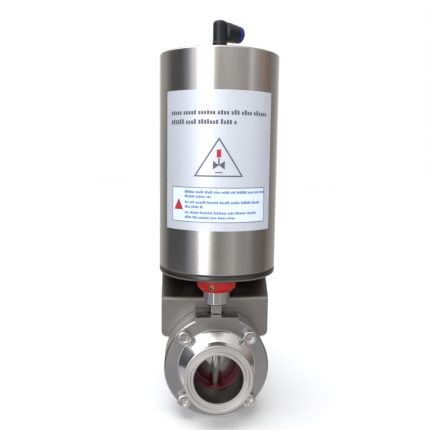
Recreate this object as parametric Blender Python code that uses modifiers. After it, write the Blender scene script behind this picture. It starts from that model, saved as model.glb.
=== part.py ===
"""A sanitary butterfly valve with a vertical spring-return pneumatic actuator.

The bore runs along Y and the stem along Z; they cross at the origin, where the disc turns.
Air enters at the top and pushes the piston down against the return spring. A cross pin in
the piston rod slides in straight slots of a fixed guide tube and in helical slots of the
output shaft, so the shaft, the coupling and the disc turn a quarter turn.
Units are metres, +Z up, and the front of the valve faces -Y.
"""

import math

import bmesh
import bpy
from mathutils import Euler, Matrix, Vector

MM = 0.001
GAP = 0.3 * MM  # between pieces that rest on each other
MERGE = 1e-6

# Valve body: two flanged halves clamped round the seat.
BORE_RADIUS = 17.9 * MM
FERRULE_RADIUS = 25.25 * MM
FERRULE_RIM = 2.2 * MM
FACE_Y = 36.5 * MM
GROOVE_RADIUS = 21.5 * MM
GROOVE_HALF_WIDTH = 1.5 * MM
GROOVE_DEPTH = 1.4 * MM
NECK_RADIUS = 20.6 * MM
HUB_RADIUS = 29.2 * MM
FLANGE_RADIUS = 40.0 * MM
FLANGE_Y = 13.0 * MM
EDGE_CHAMFER = 1.0 * MM
PAD_TOP = 38.9 * MM
PAD_HALF_WIDTH = 16.65 * MM
PAD_ROOT = 28.0 * MM
SEAT_POCKET_RADIUS = 24.5 * MM
SEAT_POCKET_Y = 11.8 * MM
BOLT_OFFSET = 24.75 * MM
SPOT_FACE_RADIUS = 6.2 * MM
SPOT_FACE_DEPTH = 0.4 * MM

# Seat, disc and stem.
SEAT_RADIUS = 17.2 * MM
SEAT_HALF_WIDTH = 11.5 * MM
DISC_RADIUS = 16.9 * MM
DISC_RIM_HALF = 1.1 * MM
DISC_CENTRE_HALF = 4.6 * MM
DISC_FACE_STEPS = 6
STEM_STEP = -16.2 * MM
STEM_RADIUS = 5.0 * MM
STEM_HOLE_RADIUS = 6.0 * MM
TRUNNION_RADIUS = 4.2 * MM
TRUNNION_HOLE_RADIUS = 5.1 * MM
TRUNNION_END = -33.5 * MM
SQUARE = 8.0 * MM
SQUARE_SOCKET = 8.7 * MM
STEM_SQUARE_FROM = 36.5 * MM
STEM_TOP = 57.0 * MM

# Coupling between stem and output shaft, and the position indicator on it.
COUPLING_SIDES = 12
COUPLING_RADIUS = 10.3 * MM
COUPLING_BOTTOM = 46.8 * MM
COUPLING_TOP = 69.2 * MM
COUPLING_NECK_RADIUS = 8.7 * MM
HUB_BOTTOM = 57.3 * MM
HUB_TOP = 69.4 * MM
INDICATOR_RADIUS = 15.0 * MM
SET_SCREW_Z = 61.7 * MM
SET_SCREW_RADIUS = 2.4 * MM
SET_SCREW_AZIMUTH = math.radians(-109)

# Bracket: one bent sheet behind the valve, from the rear flange up to the actuator.
SHEET = 3.0 * MM
BRACKET_HALF_WIDTH = 43.0 * MM
BRACKET_BOTTOM = 15.0 * MM
BRACKET_FRONT_Y = FLANGE_Y + GAP
BRACKET_BEND_Z = 46.5 * MM
BRACKET_SET_BACK = 17.0 * MM
BRACKET_TOP = 73.0 * MM
BRACKET_BEND_RADIUS = 3.0 * MM
BRACKET_CORNER_RADIUS = 5.0 * MM
BRACKET_NOTCH_RADIUS = 29.8 * MM
BRACKET_SHAFT_HOLE = 11.5 * MM
BRACKET_TONGUE_RADIUS = 30.5 * MM
BRACKET_WING_Y = 8.0 * MM
PLATE_ARC_STEPS = 16
COVER_SCREW_X = 21.0 * MM
COVER_SCREW_Y = 13.5 * MM

# Actuator housing.
SHELL_RADIUS = 44.0 * MM
SHELL_BORE = 41.5 * MM
SHELL_BOTTOM = 78.4 * MM
SHELL_TOP = 233.4 * MM
SHELL_CEILING = 227.4 * MM
SHELL_CHAMFER = 1.2 * MM
COVER_BOTTOM = 73.3 * MM
COVER_RIM_TOP = 77.2 * MM
COVER_TOP = 84.3 * MM
SPIGOT_RADIUS = 41.2 * MM
JOURNAL_RADIUS = 9.5 * MM
JOURNAL_END = 70.4 * MM

# Inside the actuator.
STROKE = 30.0 * MM
PISTON_BOTTOM = 212.0 * MM
PISTON_TOP = 226.0 * MM
PISTON_RADIUS = 40.9 * MM
PISTON_RING_RADIUS = 41.2 * MM
PISTON_BOSS_BOTTOM = 205.0 * MM
PISTON_BOSS_RADIUS = 12.0 * MM
ROD_RADIUS = 7.5 * MM
ROD_STUD_RADIUS = 4.0 * MM
ROD_BOTTOM = 142.0 * MM
NUT_RECESS_FLOOR = 220.6 * MM
PIN_Z = 150.0 * MM
PIN_RADIUS = 3.0 * MM
PIN_HALF_LENGTH = 16.8 * MM
SLEEVE_RADIUS = 13.6 * MM
SLEEVE_BORE = 10.5 * MM
SLEEVE_TOP = 168.0 * MM
SLEEVE_FLOOR = 104.0 * MM
SLEEVE_BOTTOM = 86.9 * MM
GUIDE_RADIUS = 17.0 * MM
GUIDE_BORE = 14.0 * MM
GUIDE_TOP = 171.0 * MM
GUIDE_FLANGE_RADIUS = 24.0 * MM
SLOT_HALF_WIDTH = 3.4 * MM
CAM_SLOT_RADIUS = 4.1 * MM
SPRING_RADIUS = 30.0 * MM
SPRING_WIRE_RADIUS = 2.3 * MM
SPRING_TURNS = 7
SPRING_STEPS_PER_TURN = 12

# Air inlet elbow on the top.
STUD_THREAD_RADIUS = 4.7 * MM
STUD_NECK_RADIUS = 4.0 * MM
STUD_GROOVE_RADIUS = 3.2 * MM
STUD_BORE = 2.2 * MM
PORT_RADIUS = 5.0 * MM
STUD_HEX_ACROSS = 13.0 * MM
STUD_HEX_TOP = 239.7 * MM
STUD_TOP = 248.5 * MM
ELBOW_BOTTOM = 240.3 * MM
ELBOW_TOP = 257.6 * MM
ELBOW_RADIUS = 5.15 * MM
ELBOW_COLLAR_RADIUS = 5.4 * MM
ELBOW_BORE = 4.3 * MM
BRANCH_Z = 252.0 * MM
BRANCH_AZIMUTH = math.radians(40)
BRANCH_RADIUS = 7.2 * MM
BRANCH_LENGTH = 16.0 * MM
BRANCH_BORE = 5.8 * MM
BRANCH_FOOT = 2.6 * MM
AIRWAY_RADIUS = 3.0 * MM
ELBOW_DOME = 3.0 * MM
ELBOW_COLLAR_HEIGHT = 3.0 * MM
TUBE_STOP = 5.0 * MM
TUBE_RADIUS = 4.15 * MM

# Label round the front of the shell.
LABEL_LOW = 109.4 * MM
LABEL_HIGH = 204.6 * MM
LABEL_FROM = math.radians(-148)
LABEL_TO = math.radians(-39)
LABEL_INNER = SHELL_RADIUS + 0.2 * MM
LABEL_THICKNESS = 0.25 * MM

# M6 cap screws through the body, and countersunk M4 screws in the top plate.
M6_RADIUS = 3.0 * MM
M6_HOLE_RADIUS = 3.3 * MM
M6_HEAD_RADIUS = 5.0 * MM
M6_HEAD_HEIGHT = 6.0 * MM
M6_SOCKET_RADIUS = 2.9 * MM
M6_SOCKET_DEPTH = 3.0 * MM
M6_NUT_RADIUS = 5.7 * MM
M6_NUT_HEIGHT = 5.0 * MM
M6_WASHER_RADIUS = 5.5 * MM
M6_WASHER_HEIGHT = 1.4 * MM
M4_RADIUS = 2.0 * MM
M4_HEAD_RADIUS = 3.8 * MM
M4_HEAD_HEIGHT = 2.0 * MM
M4_LENGTH = 9.0 * MM
M4_SOCKET_RADIUS = 1.45 * MM

FACETS_LARGE = 28
FACETS_MEDIUM = 16
FACETS_SMALL = 12

TO_FRONT = Euler((math.radians(90), 0, 0)).to_matrix().to_4x4()  # local +Z runs to -Y
TO_REAR = Euler((math.radians(-90), 0, 0)).to_matrix().to_4x4()  # local +Z runs to +Y


def clear_scene():
    for obj in list(bpy.data.objects):
        bpy.data.objects.remove(obj, do_unlink=True)


def new_collection(name):
    collection = bpy.data.collections.new(name)
    bpy.context.scene.collection.children.link(collection)
    return collection


def new_material(name, colour, metallic, roughness):
    material = bpy.data.materials.new(name)
    material.use_nodes = True
    shader = material.node_tree.nodes["Principled BSDF"]
    shader.inputs["Base Color"].default_value = (*colour, 1.0)
    shader.inputs["Metallic"].default_value = metallic
    shader.inputs["Roughness"].default_value = roughness
    return material


clear_scene()
PARTS = new_collection("pneumatic_valve")
CUTTERS = new_collection("cutters")
STEEL = new_material("stainless_steel", (0.62, 0.60, 0.58), 1.0, 0.28)
POLISHED = new_material("polished_steel", (0.70, 0.69, 0.68), 1.0, 0.12)
SPRING_STEEL = new_material("spring_steel", (0.35, 0.35, 0.36), 1.0, 0.35)
ALUMINIUM = new_material("aluminium", (0.75, 0.75, 0.76), 1.0, 0.35)
BRASS = new_material("nickelled_brass", (0.72, 0.68, 0.58), 1.0, 0.25)
BUSH_PLASTIC = new_material("bush_plastic", (0.80, 0.78, 0.70), 0.0, 0.5)
BLACK_RUBBER = new_material("black_rubber", (0.02, 0.02, 0.02), 0.0, 0.7)
SEAT_RUBBER = new_material("seat_rubber", (0.30, 0.01, 0.05), 0.0, 0.5)
RED_PLASTIC = new_material("red_plastic", (0.60, 0.01, 0.02), 0.0, 0.35)
BLACK_PLASTIC = new_material("black_plastic", (0.02, 0.02, 0.025), 0.0, 0.35)
BLUE_PLASTIC = new_material("blue_plastic", (0.02, 0.02, 0.35), 0.0, 0.3)
LABEL_FILM = new_material("label_film", (0.85, 0.85, 0.88), 0.0, 0.4)


def add_part(name, mesh, material, matrix=None, parent=None):
    """A visible sub-part. Its matrix is local to its parent."""
    mesh.name = name
    mesh.materials.append(material)
    obj = bpy.data.objects.new(name, mesh)
    obj.matrix_basis = matrix or Matrix()
    obj.parent = parent
    PARTS.objects.link(obj)
    return obj


def add_cutter(name, mesh, matrix=None, parent=None):
    obj = bpy.data.objects.new(name, mesh)
    obj.matrix_basis = matrix or Matrix()
    obj.parent = parent
    obj.hide_render = True
    obj.display_type = "WIRE"
    CUTTERS.objects.link(obj)
    return obj


def combine(obj, other, operation="DIFFERENCE"):
    modifier = obj.modifiers.new(operation.lower() + "_" + other.name, "BOOLEAN")
    modifier.operation = operation
    modifier.solver = "EXACT"
    modifier.object = other


def bmesh_mesh(work):
    mesh = bpy.data.meshes.new("shape")
    bmesh.ops.recalc_face_normals(work, faces=work.faces)
    work.to_mesh(mesh)
    work.free()
    return mesh


def box_mesh(low, high):
    low, high = Vector(low), Vector(high)
    work = bmesh.new()
    bmesh.ops.create_cube(work, size=1.0)
    bmesh.ops.scale(work, vec=high - low, verts=work.verts)
    bmesh.ops.translate(work, vec=(low + high) / 2, verts=work.verts)
    return bmesh_mesh(work)


def prism_mesh(radius, low, high, sides=FACETS_SMALL, turn=0.0):
    """A prism or a cylinder along Z between two heights."""
    work = bmesh.new()
    bmesh.ops.create_cone(
        work,
        cap_ends=True,
        segments=sides,
        radius1=radius,
        radius2=radius,
        depth=high - low,
        matrix=Matrix.Translation((0, 0, (low + high) / 2)) @ Matrix.Rotation(turn, 4, "Z"),
    )
    return bmesh_mesh(work)


def outer_side_down(profile):
    """The (radius, height) points in the order that makes a Screw face outwards."""
    pairs = zip(profile, profile[1:] + profile[:1])
    area = sum(a[0] * b[1] - b[0] * a[1] for a, b in pairs)
    return profile if area < 0 else profile[::-1]


def turned_mesh(profile, facets):
    """A profile turned about Z. One that starts and ends on the axis is open there."""
    points = outer_side_down(profile)
    on_axis = [i for i, (radius, _) in enumerate(points) if radius == 0]
    if on_axis:
        start = next(i for i in on_axis if (i - 1) % len(points) in on_axis)
        points = points[start:] + points[:start]
    work = bmesh.new()
    verts = [work.verts.new((radius, 0, height)) for radius, height in points]
    for first, second in zip(verts, verts[1:]):
        work.edges.new((first, second))
    if not on_axis:
        work.edges.new((verts[-1], verts[0]))
    mesh = bpy.data.meshes.new("profile")
    work.to_mesh(mesh)
    work.free()
    obj = bpy.data.objects.new("profile", mesh)
    CUTTERS.objects.link(obj)
    screw = obj.modifiers.new("turn", "SCREW")
    screw.steps = facets
    screw.render_steps = facets
    screw.use_merge_vertices = True
    screw.merge_threshold = MERGE
    screw.use_smooth_shade = True
    turned = evaluated_mesh(obj)
    turned.set_sharp_from_angle(angle=math.radians(30))
    return turned


def evaluated_mesh(obj):
    """The object's finished mesh, in its own space. The object itself is removed."""
    bpy.context.view_layer.update()
    graph = bpy.context.evaluated_depsgraph_get()
    mesh = bpy.data.meshes.new_from_object(obj.evaluated_get(graph))
    bpy.data.objects.remove(obj, do_unlink=True)
    work = bmesh.new()
    work.from_mesh(mesh)
    bmesh.ops.remove_doubles(work, verts=work.verts, dist=MERGE)
    work.to_mesh(mesh)
    work.free()
    return mesh


def ring(inner, outer, low, high):
    return [(inner, high), (outer, high), (outer, low), (inner, low)]


def wire_mesh(points, radius, resolution=2):
    """A round wire through the points, with filled ends."""
    curve = bpy.data.curves.new("wire", "CURVE")
    curve.dimensions = "3D"
    curve.bevel_depth = radius
    curve.bevel_resolution = resolution
    curve.use_fill_caps = True
    spline = curve.splines.new("POLY")
    spline.points.add(len(points) - 1)
    for point, place in zip(spline.points, points):
        point.co = (*place, 1)
    obj = bpy.data.objects.new("wire", curve)
    CUTTERS.objects.link(obj)
    return evaluated_mesh(obj)


def plate_mesh(outline, thickness):
    """A flat outline in XY, thickened evenly about its own plane."""
    curve = bpy.data.curves.new("plate", "CURVE")
    curve.dimensions = "2D"
    curve.fill_mode = "BOTH"
    curve.extrude = thickness / 2
    spline = curve.splines.new("POLY")
    spline.points.add(len(outline) - 1)
    spline.use_cyclic_u = True
    for point, place in zip(spline.points, outline):
        point.co = (*place, 0, 1)
    obj = bpy.data.objects.new("plate", curve)
    CUTTERS.objects.link(obj)
    return evaluated_mesh(obj)


def arc(centre, radius, start, end, steps):
    """Points on an arc, with both ends; angles in degrees."""
    angles = [math.radians(start + (end - start) * i / steps) for i in range(steps + 1)]
    return [(centre[0] + radius * math.cos(a), centre[1] + radius * math.sin(a)) for a in angles]


def polar(radius, angle, height=0.0):
    return Vector((radius * math.cos(angle), radius * math.sin(angle), height))


def along(direction, start):
    """A matrix that lays local +Z along the direction, from the start point."""
    turn = Vector(direction).to_track_quat("Z", "X").to_matrix().to_4x4()
    return Matrix.Translation(start) @ turn


# Valve body ------------------------------------------------------------------------------


def body_half_profile():
    """Radius and distance from the split plane, of either half."""
    ferrule_back = FACE_Y - FERRULE_RIM
    taper = (FERRULE_RADIUS - NECK_RADIUS) * math.tan(math.radians(20))
    return [
        (SEAT_POCKET_RADIUS, GAP / 2),
        (FLANGE_RADIUS, GAP / 2),
        (FLANGE_RADIUS, FLANGE_Y - EDGE_CHAMFER),
        (FLANGE_RADIUS - EDGE_CHAMFER, FLANGE_Y),
        (HUB_RADIUS, FLANGE_Y),
        (HUB_RADIUS - 0.8 * MM, FLANGE_Y + 1.2 * MM),
        (NECK_RADIUS + 1.8 * MM, FLANGE_Y + 6.4 * MM),
        (NECK_RADIUS, FLANGE_Y + 8.6 * MM),
        (NECK_RADIUS, ferrule_back - taper),
        (FERRULE_RADIUS, ferrule_back),
        (FERRULE_RADIUS, FACE_Y - 0.3 * MM),
        (FERRULE_RADIUS - 0.3 * MM, FACE_Y),
        (GROOVE_RADIUS + GROOVE_HALF_WIDTH, FACE_Y),
        (GROOVE_RADIUS + 0.9 * MM, FACE_Y - GROOVE_DEPTH),
        (GROOVE_RADIUS - 0.9 * MM, FACE_Y - GROOVE_DEPTH),
        (GROOVE_RADIUS - GROOVE_HALF_WIDTH, FACE_Y),
        (BORE_RADIUS + 0.5 * MM, FACE_Y),
        (BORE_RADIUS, FACE_Y - 0.5 * MM),
        (BORE_RADIUS, SEAT_POCKET_Y),
        (SEAT_POCKET_RADIUS, SEAT_POCKET_Y),
    ]


def bolt_places():
    for z_side in (1, -1):
        for x_side in (-1, 1):
            yield Vector((x_side * BOLT_OFFSET, 0, z_side * BOLT_OFFSET))


def make_body_halves():
    hole = prism_mesh(STEM_HOLE_RADIUS, 20 * MM, PAD_TOP + 5 * MM, FACETS_MEDIUM)
    stem_hole = add_cutter("stem_hole", hole)
    hole = prism_mesh(TRUNNION_HOLE_RADIUS, TRUNNION_END - MM, -20 * MM, FACETS_MEDIUM)
    trunnion_hole = add_cutter("trunnion_hole", hole)
    above = box_mesh((-FLANGE_RADIUS, -20 * MM, PAD_TOP), (FLANGE_RADIUS, 20 * MM, PAD_TOP + 20 * MM))
    above_pad = add_cutter("above_pad", above)
    for name, side, turn in (("front", -1, TO_FRONT), ("rear", 1, TO_REAR)):
        mesh = turned_mesh(body_half_profile(), FACETS_LARGE)
        half = add_part(name + "_body_half", mesh, POLISHED, turn)
        near, far = sorted((side * GAP / 2, side * FLANGE_Y))
        pad_mesh = box_mesh(
            (-PAD_HALF_WIDTH, near, PAD_ROOT), (PAD_HALF_WIDTH, far, PAD_TOP + 3 * MM)
        )
        combine(half, add_cutter(name + "_pad", pad_mesh), "UNION")
        combine(half, above_pad)
        combine(half, stem_hole)
        combine(half, trunnion_hole)
        for number, place in enumerate(bolt_places(), 1):
            hole = add_cutter(
                f"{name}_bolt_hole_{number}",
                prism_mesh(M6_HOLE_RADIUS, -1 * MM, 30 * MM, FACETS_SMALL),
                Matrix.Translation(place) @ turn,
            )
            combine(half, hole)
            if side < 0:
                floor = FLANGE_Y - SPOT_FACE_DEPTH
                spot = prism_mesh(SPOT_FACE_RADIUS, floor, FACE_Y, FACETS_MEDIUM)
                matrix = Matrix.Translation(place) @ turn
                combine(half, add_cutter(f"spot_face_{number}", spot, matrix))


def make_seat():
    profile = ring(SEAT_RADIUS, SEAT_POCKET_RADIUS - GAP, -SEAT_HALF_WIDTH, SEAT_HALF_WIDTH)
    seat = add_part("seat_ring", turned_mesh(profile, FACETS_LARGE), SEAT_RUBBER, TO_FRONT)
    upper = prism_mesh(STEM_RADIUS + 0.15 * MM, 10 * MM, 30 * MM, FACETS_MEDIUM)
    lower = prism_mesh(TRUNNION_RADIUS + 0.15 * MM, -30 * MM, -10 * MM, FACETS_MEDIUM)
    combine(seat, add_cutter("seat_stem_hole", upper))
    combine(seat, add_cutter("seat_trunnion_hole", lower))


def make_disc():
    """The disc and its stem are one piece. Its rim lies on a sphere, so it turns in the seat."""
    face = []
    for step in range(DISC_FACE_STEPS):
        share = step / DISC_FACE_STEPS
        half = DISC_RIM_HALF + (DISC_CENTRE_HALF - DISC_RIM_HALF) * (1 - share**2)
        face.append((DISC_RADIUS * share, half))
    face.append((math.sqrt(DISC_RADIUS**2 - DISC_RIM_HALF**2), DISC_RIM_HALF))
    profile = face + [(DISC_RADIUS, 0)] + [(radius, -depth) for radius, depth in face[::-1]]
    disc = add_part("disc", turned_mesh(profile, FACETS_LARGE), POLISHED, TO_FRONT)
    stem_profile = [
        (0, STEM_SQUARE_FROM),
        (STEM_RADIUS, STEM_SQUARE_FROM),
        (STEM_RADIUS, STEM_STEP),
        (TRUNNION_RADIUS, STEM_STEP),
        (TRUNNION_RADIUS, TRUNNION_END + 0.5 * MM),
        (TRUNNION_RADIUS - 0.5 * MM, TRUNNION_END),
        (0, TRUNNION_END),
    ]
    combine(disc, add_cutter("stem", turned_mesh(stem_profile, FACETS_MEDIUM)), "UNION")
    half = SQUARE / 2
    square = box_mesh((-half, -half, STEM_SQUARE_FROM - 0.2 * MM), (half, half, STEM_TOP))
    combine(disc, add_cutter("stem_square", square), "UNION")


def make_stem_bushes():
    upper = ring(STEM_RADIUS + 0.15 * MM, STEM_HOLE_RADIUS - 0.15 * MM, 29 * MM, 36 * MM)
    add_part("stem_bush_upper", turned_mesh(upper, FACETS_MEDIUM), BUSH_PLASTIC)
    seal = ring(STEM_RADIUS + 0.15 * MM, STEM_HOLE_RADIUS - 0.15 * MM, 25 * MM, 28 * MM)
    add_part("stem_seal", turned_mesh(seal, FACETS_MEDIUM), BLACK_RUBBER)
    lower = ring(TRUNNION_RADIUS + 0.15 * MM, TRUNNION_HOLE_RADIUS - 0.15 * MM, -33 * MM, -26 * MM)
    add_part("stem_bush_lower", turned_mesh(lower, FACETS_MEDIUM), BUSH_PLASTIC)


def make_body_bolts():
    """Cap screws from the front. The upper two also hold the bracket."""
    head_y = FLANGE_Y - SPOT_FACE_DEPTH + GAP
    for number, place in enumerate(bolt_places(), 1):
        clamped = SHEET + GAP if place.z > 0 else 0.0
        washer_y = FLANGE_Y + GAP + clamped
        nut_y = washer_y + M6_WASHER_HEIGHT + GAP
        bolt_end = nut_y + M6_NUT_HEIGHT + 1.5 * MM
        profile = [
            (0, head_y + M6_HEAD_HEIGHT),
            (M6_HEAD_RADIUS - 0.5 * MM, head_y + M6_HEAD_HEIGHT),
            (M6_HEAD_RADIUS, head_y + M6_HEAD_HEIGHT - 0.5 * MM),
            (M6_HEAD_RADIUS, head_y),
            (M6_RADIUS, head_y),
            (M6_RADIUS, 0.5 * MM - bolt_end),
            (M6_RADIUS - 0.5 * MM, -bolt_end),
            (0, -bolt_end),
        ]
        front = Matrix.Translation(place) @ TO_FRONT
        rear = Matrix.Translation(place) @ TO_REAR
        bolt = add_part(f"body_bolt_{number}", turned_mesh(profile, FACETS_SMALL), STEEL, front)
        head_top = head_y + M6_HEAD_HEIGHT
        socket = prism_mesh(M6_SOCKET_RADIUS, head_top - M6_SOCKET_DEPTH, head_top + MM, 6)
        combine(bolt, add_cutter(f"bolt_socket_{number}", socket, front))
        washer = ring(M6_RADIUS + 0.2 * MM, M6_WASHER_RADIUS, washer_y, washer_y + M6_WASHER_HEIGHT)
        add_part(f"body_washer_{number}", turned_mesh(washer, FACETS_SMALL), STEEL, rear)
        nut_mesh = prism_mesh(M6_NUT_RADIUS, nut_y, nut_y + M6_NUT_HEIGHT, 6)
        nut = add_part(f"body_nut_{number}", nut_mesh, STEEL, rear)
        nut_top = nut_y + M6_NUT_HEIGHT
        thread = prism_mesh(M6_RADIUS + 0.2 * MM, nut_y - MM, nut_top + MM, FACETS_SMALL)
        combine(nut, add_cutter(f"nut_thread_{number}", thread, rear))


# Coupling and indicator --------------------------------------------------------------------


def make_coupling():
    chamfer = 1.6 * MM
    mesh = prism_mesh(
        COUPLING_RADIUS,
        COUPLING_BOTTOM,
        HUB_BOTTOM - GAP,
        COUPLING_SIDES,
        turn=math.radians(15),
    )
    coupling = add_part("drive_coupling", mesh, POLISHED)
    blank = [
        (0, HUB_BOTTOM),
        (COUPLING_RADIUS + 1 * MM, HUB_BOTTOM),
        (COUPLING_RADIUS + 1 * MM, COUPLING_BOTTOM + chamfer + 0.6 * MM),
        (COUPLING_RADIUS - chamfer, COUPLING_BOTTOM - 0.1 * MM),
        (0, COUPLING_BOTTOM - 0.1 * MM),
    ]
    chamfered = add_cutter("coupling_blank", turned_mesh(blank, FACETS_LARGE))
    combine(coupling, chamfered, "INTERSECT")
    neck = prism_mesh(COUPLING_NECK_RADIUS, HUB_BOTTOM - 3 * MM, COUPLING_TOP, FACETS_MEDIUM)
    combine(coupling, add_cutter("coupling_neck", neck), "UNION")
    half = SQUARE_SOCKET / 2
    socket = box_mesh((-half, -half, 40 * MM), (half, half, 80 * MM))
    combine(coupling, add_cutter("coupling_socket", socket))


def make_indicator():
    chamfer = 3.4 * MM
    profile = [
        (COUPLING_NECK_RADIUS + GAP, HUB_TOP),
        (INDICATOR_RADIUS - 0.6 * MM, HUB_TOP),
        (INDICATOR_RADIUS, HUB_TOP - 0.6 * MM),
        (INDICATOR_RADIUS, HUB_BOTTOM + chamfer),
        (INDICATOR_RADIUS - chamfer, HUB_BOTTOM),
        (COUPLING_NECK_RADIUS + GAP, HUB_BOTTOM),
    ]
    indicator = add_part("indicator_hub", turned_mesh(profile, FACETS_LARGE), RED_PLASTIC)
    axis = polar(1, SET_SCREW_AZIMUTH)
    matrix = along(axis, (0, 0, SET_SCREW_Z))
    hole = prism_mesh(SET_SCREW_RADIUS + 0.25 * MM, 5 * MM, 20 * MM, FACETS_SMALL)
    combine(indicator, add_cutter("set_screw_hole", hole, matrix))
    screw_mesh = prism_mesh(SET_SCREW_RADIUS, 9.2 * MM, 14.4 * MM, FACETS_SMALL)
    screw = add_part("hub_set_screw", screw_mesh, BRASS, matrix)
    socket = prism_mesh(1.4 * MM, 12.4 * MM, 16 * MM, 6)
    combine(screw, add_cutter("set_screw_socket", socket, matrix))


# Bracket -------------------------------------------------------------------------------------


def bent_strip(path, thickness, bend_radius, steps=3):
    """The outline of a sheet of one thickness, bent at each inner point of its centre line."""
    left, right = [], []
    points = [Vector(point) for point in path]
    for i, point in enumerate(points):
        before = (point - points[i - 1]).normalized() if i else None
        after = (points[i + 1] - point).normalized() if i + 1 < len(points) else None
        if before is None or after is None:
            normal = Vector((-(before or after).y, (before or after).x))
            left.append(point + normal * thickness / 2)
            right.append(point - normal * thickness / 2)
            continue
        turn = before.angle_signed(after)
        side = -1 if turn > 0 else 1
        radius = bend_radius + thickness / 2
        start = point - before * radius * math.tan(abs(turn) / 2)
        centre = start + Vector((-before.y, before.x)) * radius * side
        first = math.atan2(*(start - centre).yx)
        for step in range(steps + 1):
            spoke = Vector(polar(1, first - turn * step / steps).xy)
            inner = centre + spoke * (radius - thickness / 2)
            outer = centre + spoke * (radius + thickness / 2)
            left.append(inner if side > 0 else outer)
            right.append(outer if side > 0 else inner)
    return [tuple(point) for point in left + right[::-1]]


def bracket_front_outline():
    """The lower plate as seen from the front: rounded corners, and a notch for the rear hub."""
    w, r = BRACKET_HALF_WIDTH, BRACKET_CORNER_RADIUS
    notch, low = BRACKET_NOTCH_RADIUS, BRACKET_BOTTOM
    mouth = math.degrees(math.asin(low / notch))
    right = arc((w - r, low + r), r, -90, 0, 4) + [(w, BRACKET_TOP + 5 * MM)]
    left = [(-x, z) for x, z in right[::-1]]
    return right + left + arc((0, 0), notch, 180 - mouth, mouth, 12)


def bracket_plan_outline():
    """The top plate as seen from above: full width at the back, a round tongue under the cover."""
    side = BRACKET_HALF_WIDTH + 2 * MM
    back = BRACKET_FRONT_Y + BRACKET_SET_BACK + SHEET + 5 * MM
    rise = math.degrees(math.asin(BRACKET_WING_Y / BRACKET_TONGUE_RADIUS))
    tongue = arc((0, 0), BRACKET_TONGUE_RADIUS, 180 - rise, 360 + rise, PLATE_ARC_STEPS)
    return [(-side, back), (-side, BRACKET_WING_Y)] + tongue + [(side, BRACKET_WING_Y), (side, back)]


def make_bracket():
    lower_y = BRACKET_FRONT_Y + SHEET / 2
    web_y = lower_y + BRACKET_SET_BACK
    path = [
        (lower_y, 5 * MM),
        (lower_y, BRACKET_BEND_Z),
        (web_y, BRACKET_BEND_Z + BRACKET_SET_BACK * 0.92),
        (web_y, BRACKET_TOP - SHEET / 2),
        (-60 * MM, BRACKET_TOP - SHEET / 2),
    ]
    side_view = bent_strip(path, SHEET, BRACKET_BEND_RADIUS)
    to_side = Matrix(((0, 0, 1, 0), (1, 0, 0, 0), (0, 1, 0, 0), (0, 0, 0, 1)))
    bracket_mesh = plate_mesh(side_view, 2 * BRACKET_HALF_WIDTH + 10 * MM)
    bracket_mesh.transform(to_side)
    bracket = add_part("bracket", bracket_mesh, STEEL)
    front = add_cutter(
        "bracket_front_shape", plate_mesh(bracket_front_outline(), 200 * MM), TO_FRONT
    )
    plan = add_cutter("bracket_plan_shape", plate_mesh(bracket_plan_outline(), 300 * MM))
    combine(bracket, front, "INTERSECT")
    combine(bracket, plan, "INTERSECT")
    shaft_hole = prism_mesh(BRACKET_SHAFT_HOLE, 60 * MM, 90 * MM, FACETS_MEDIUM)
    combine(bracket, add_cutter("bracket_shaft_hole", shaft_hole))
    for number, place in enumerate(bolt_places(), 1):
        if place.z > 0:
            hole = prism_mesh(M6_HOLE_RADIUS, 5 * MM, 25 * MM, FACETS_SMALL)
            matrix = Matrix.Translation(place) @ TO_REAR
            combine(bracket, add_cutter(f"bracket_bolt_hole_{number}", hole, matrix))
    for number, place in enumerate(cover_screw_places(), 1):
        countersink = turned_mesh(countersunk(GAP, MM), FACETS_SMALL)
        combine(bracket, add_cutter(f"countersink_{number}", countersink, place))


# Actuator housing --------------------------------------------------------------------------------


def cover_screw_places():
    for x_side, y_side in ((-1, -1), (1, -1), (-1, 1), (1, 1)):
        yield Matrix.Translation((x_side * COVER_SCREW_X, y_side * COVER_SCREW_Y, 0))


def countersunk(clearance, extra):
    """The profile of a countersunk screw, or of its hole with a clearance."""
    head_z = BRACKET_TOP - SHEET - extra
    return [
        (0, head_z),
        (M4_HEAD_RADIUS + clearance, head_z),
        (M4_HEAD_RADIUS + clearance, BRACKET_TOP - SHEET + 0.2 * MM),
        (M4_RADIUS + clearance, BRACKET_TOP - SHEET + M4_HEAD_HEIGHT),
        (M4_RADIUS + clearance, BRACKET_TOP - SHEET + M4_LENGTH + extra),
        (0, BRACKET_TOP - SHEET + M4_LENGTH + extra),
    ]


def make_cover_screws(cover):
    for number, place in enumerate(cover_screw_places(), 1):
        mesh = turned_mesh(countersunk(0, 0), FACETS_SMALL)
        screw = add_part(f"cover_screw_{number}", mesh, STEEL, place)
        floor = BRACKET_TOP - SHEET
        socket = prism_mesh(M4_SOCKET_RADIUS, floor - MM, floor + 1.2 * MM, 6)
        combine(screw, add_cutter(f"cover_screw_socket_{number}", socket, place))
        hole = prism_mesh(M4_RADIUS + GAP, floor - MM, floor + M4_LENGTH + MM, 12)
        combine(cover, add_cutter(f"cover_hole_{number}", hole, place))


def make_shell():
    profile = [
        (PORT_RADIUS, SHELL_TOP),
        (SHELL_RADIUS - SHELL_CHAMFER, SHELL_TOP),
        (SHELL_RADIUS, SHELL_TOP - SHELL_CHAMFER),
        (SHELL_RADIUS, SHELL_BOTTOM),
        (SHELL_BORE, SHELL_BOTTOM),
        (SHELL_BORE, SHELL_CEILING),
        (PORT_RADIUS, SHELL_CEILING),
    ]
    add_part("actuator_shell", turned_mesh(profile, FACETS_LARGE), STEEL)


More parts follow.
